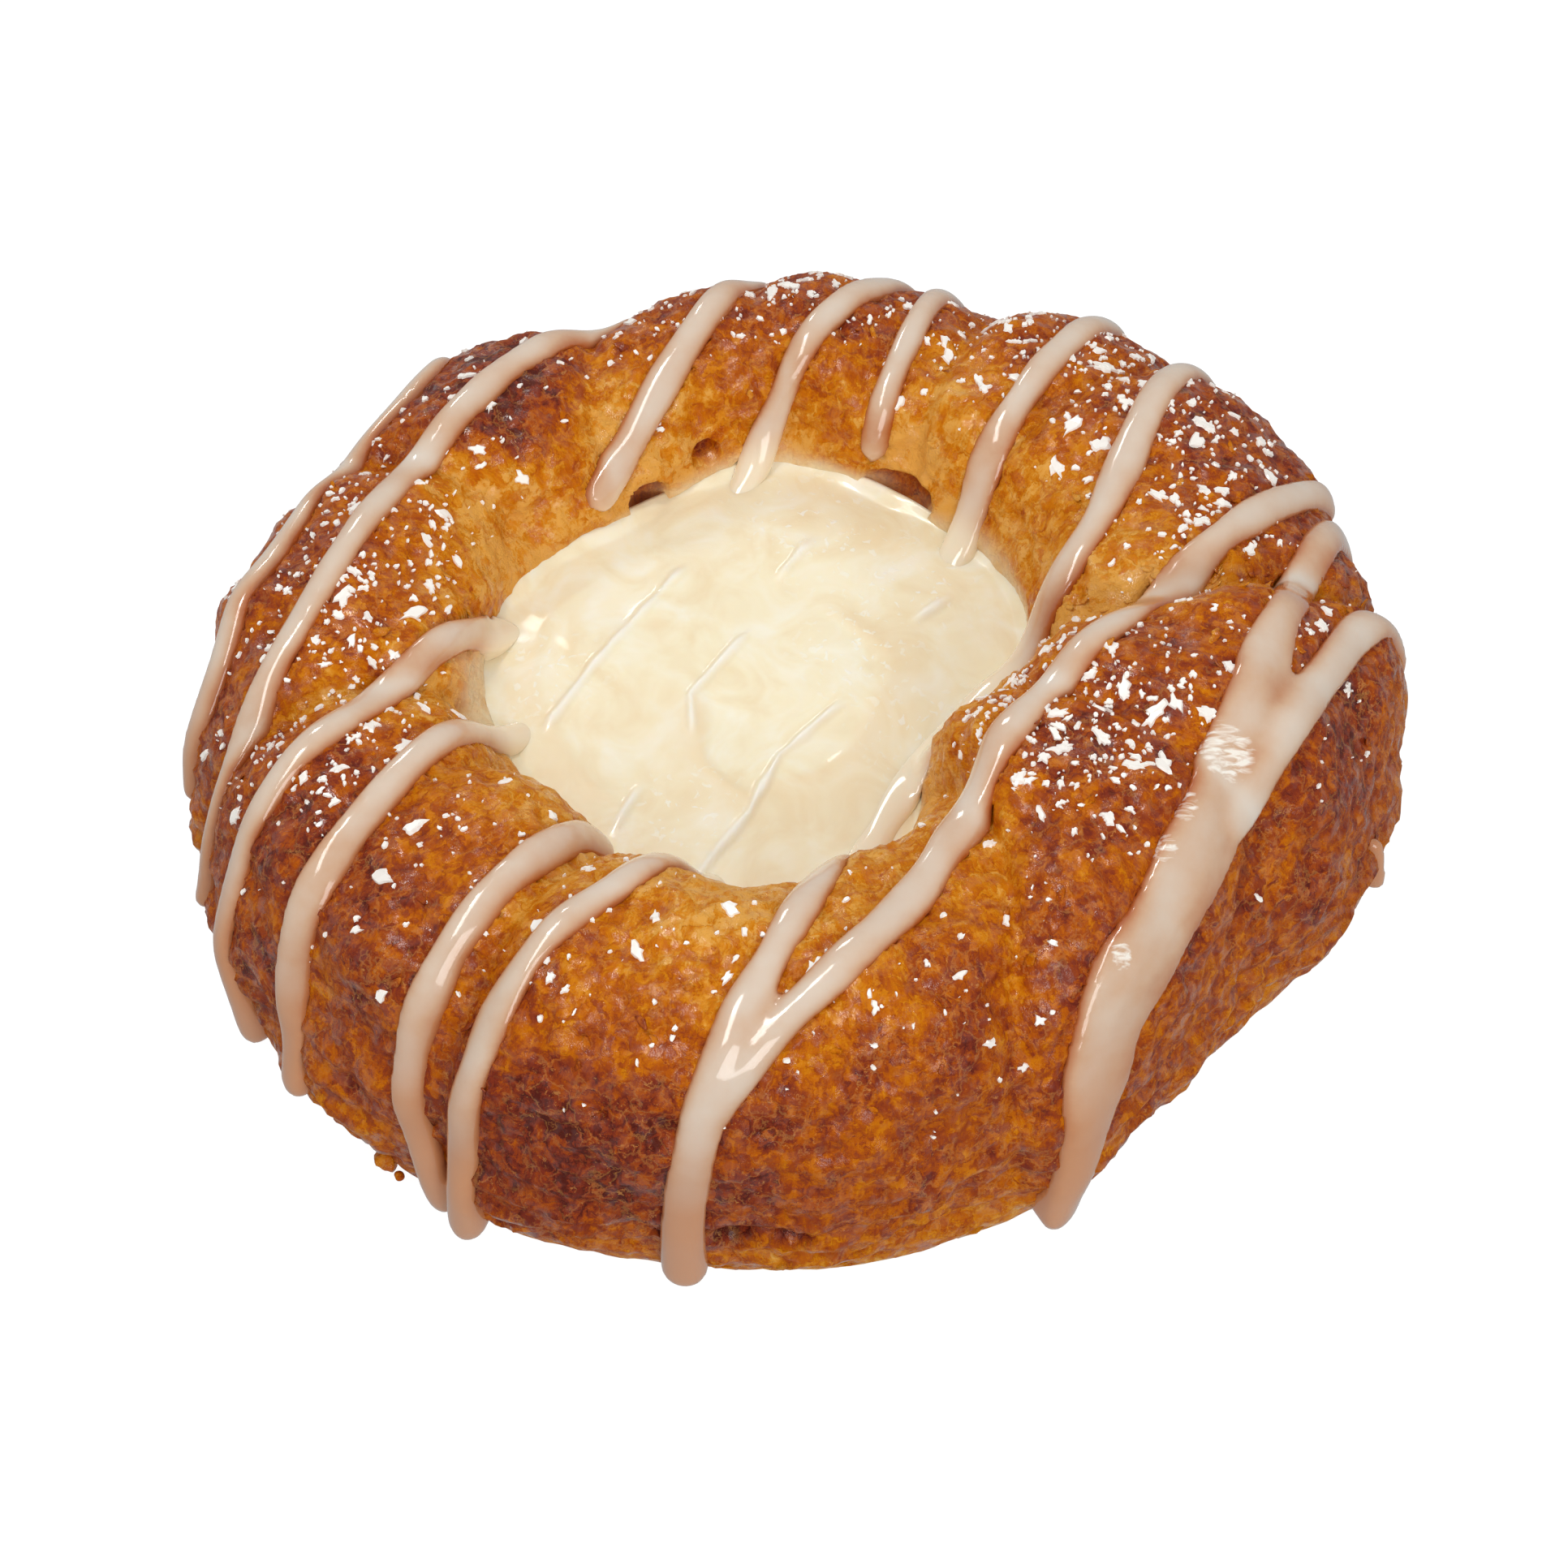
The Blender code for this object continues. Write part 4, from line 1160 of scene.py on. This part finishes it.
world = bpy.data.worlds.new("studio")
bpy.context.scene.world = world
world.use_nodes = True
world.node_tree.nodes.clear()
sky_way = add_node(world, "TexCoord", "Generated")
sky_height = add_node(world, "SeparateXYZ", "Z", inputs={0: sky_way})
sky_level = add_node(world, "MapRange", "Result", inputs={
    "Value": sky_height, "From Min": -0.5, "From Max": 0.6, "To Min": 0.5, "To Max": 0.66,
})
sky = add_node(world, "Background", 0, inputs={
    "Color": linear("#ffffff"), "Strength": sky_level,
})
add_node(world, "OutputWorld", inputs={"Surface": sky})

# (name, place, width, length from front to back, watts, whether it lights more than glossy surfaces)
LAMPS = (
    ("overhead_softbox", (-0.18, 0.04, 0.72), 0.10, 0.10, 1.0, True),
    ("back_window", (-0.25, 0.65, 0.5), 0.12, 0.12, 0.6, True),
    ("front_fill", (0.18, -0.56, 0.30), 0.30, 0.30, 1.3, True),
    ("strip_reflection", (-0.16, -0.14, 0.7), 0.14, 0.66, 2.6, False),
)
LAMPS_AIM = Vector((0, 0, 0.015))
for name, spot, width, length, power, lights_all in LAMPS:
    lamp_data = bpy.data.lights.new(name, "AREA")
    lamp_data.shape = "RECTANGLE"
    lamp_data.size = width
    lamp_data.size_y = length
    lamp_data.energy = power
    lamp = bpy.data.objects.new(name, lamp_data)
    lamp.visible_diffuse = lights_all
    lamp.location = spot
    aim = (LAMPS_AIM - Vector(spot)).normalized()
    lamp.rotation_euler = (math.asin(aim.y), math.atan2(-aim.x, -aim.z), 0)
    bpy.context.scene.collection.objects.link(lamp)

# The camera looks down on the danish from the front, as in the photograph.
IMAGE_SIDE = 1932  # pixels
FOCAL_PIXELS = 5292
SENSOR_WIDTH = 36.0  # millimetres
CAMERA_TILT = math.radians(52)  # below the horizon
CAMERA_DISTANCE = 0.420
LOOKED_AT = Vector((-0.0006, -0.0034, 0.014))
LOOKED_AT_PIXEL = (975, 953)
forward = Vector((0, math.cos(CAMERA_TILT), -math.sin(CAMERA_TILT)))
upward = Vector((0, math.sin(CAMERA_TILT), math.cos(CAMERA_TILT)))
camera_data = bpy.data.cameras.new("camera")
camera_data.sensor_width = SENSOR_WIDTH
camera_data.lens = SENSOR_WIDTH * FOCAL_PIXELS / IMAGE_SIDE
camera = bpy.data.objects.new("camera", camera_data)
camera.location = LOOKED_AT - forward * CAMERA_DISTANCE
rightwards, upwards = (IMAGE_SIDE / 2 - pixel for pixel in LOOKED_AT_PIXEL)
aim = forward * FOCAL_PIXELS + Vector((rightwards, 0, 0)) - upward * upwards
camera.rotation_euler = aim.to_track_quat("-Z", "Y").to_euler()
bpy.context.scene.collection.objects.link(camera)
bpy.context.scene.camera = camera
bpy.context.scene.view_settings.view_transform = "Standard"
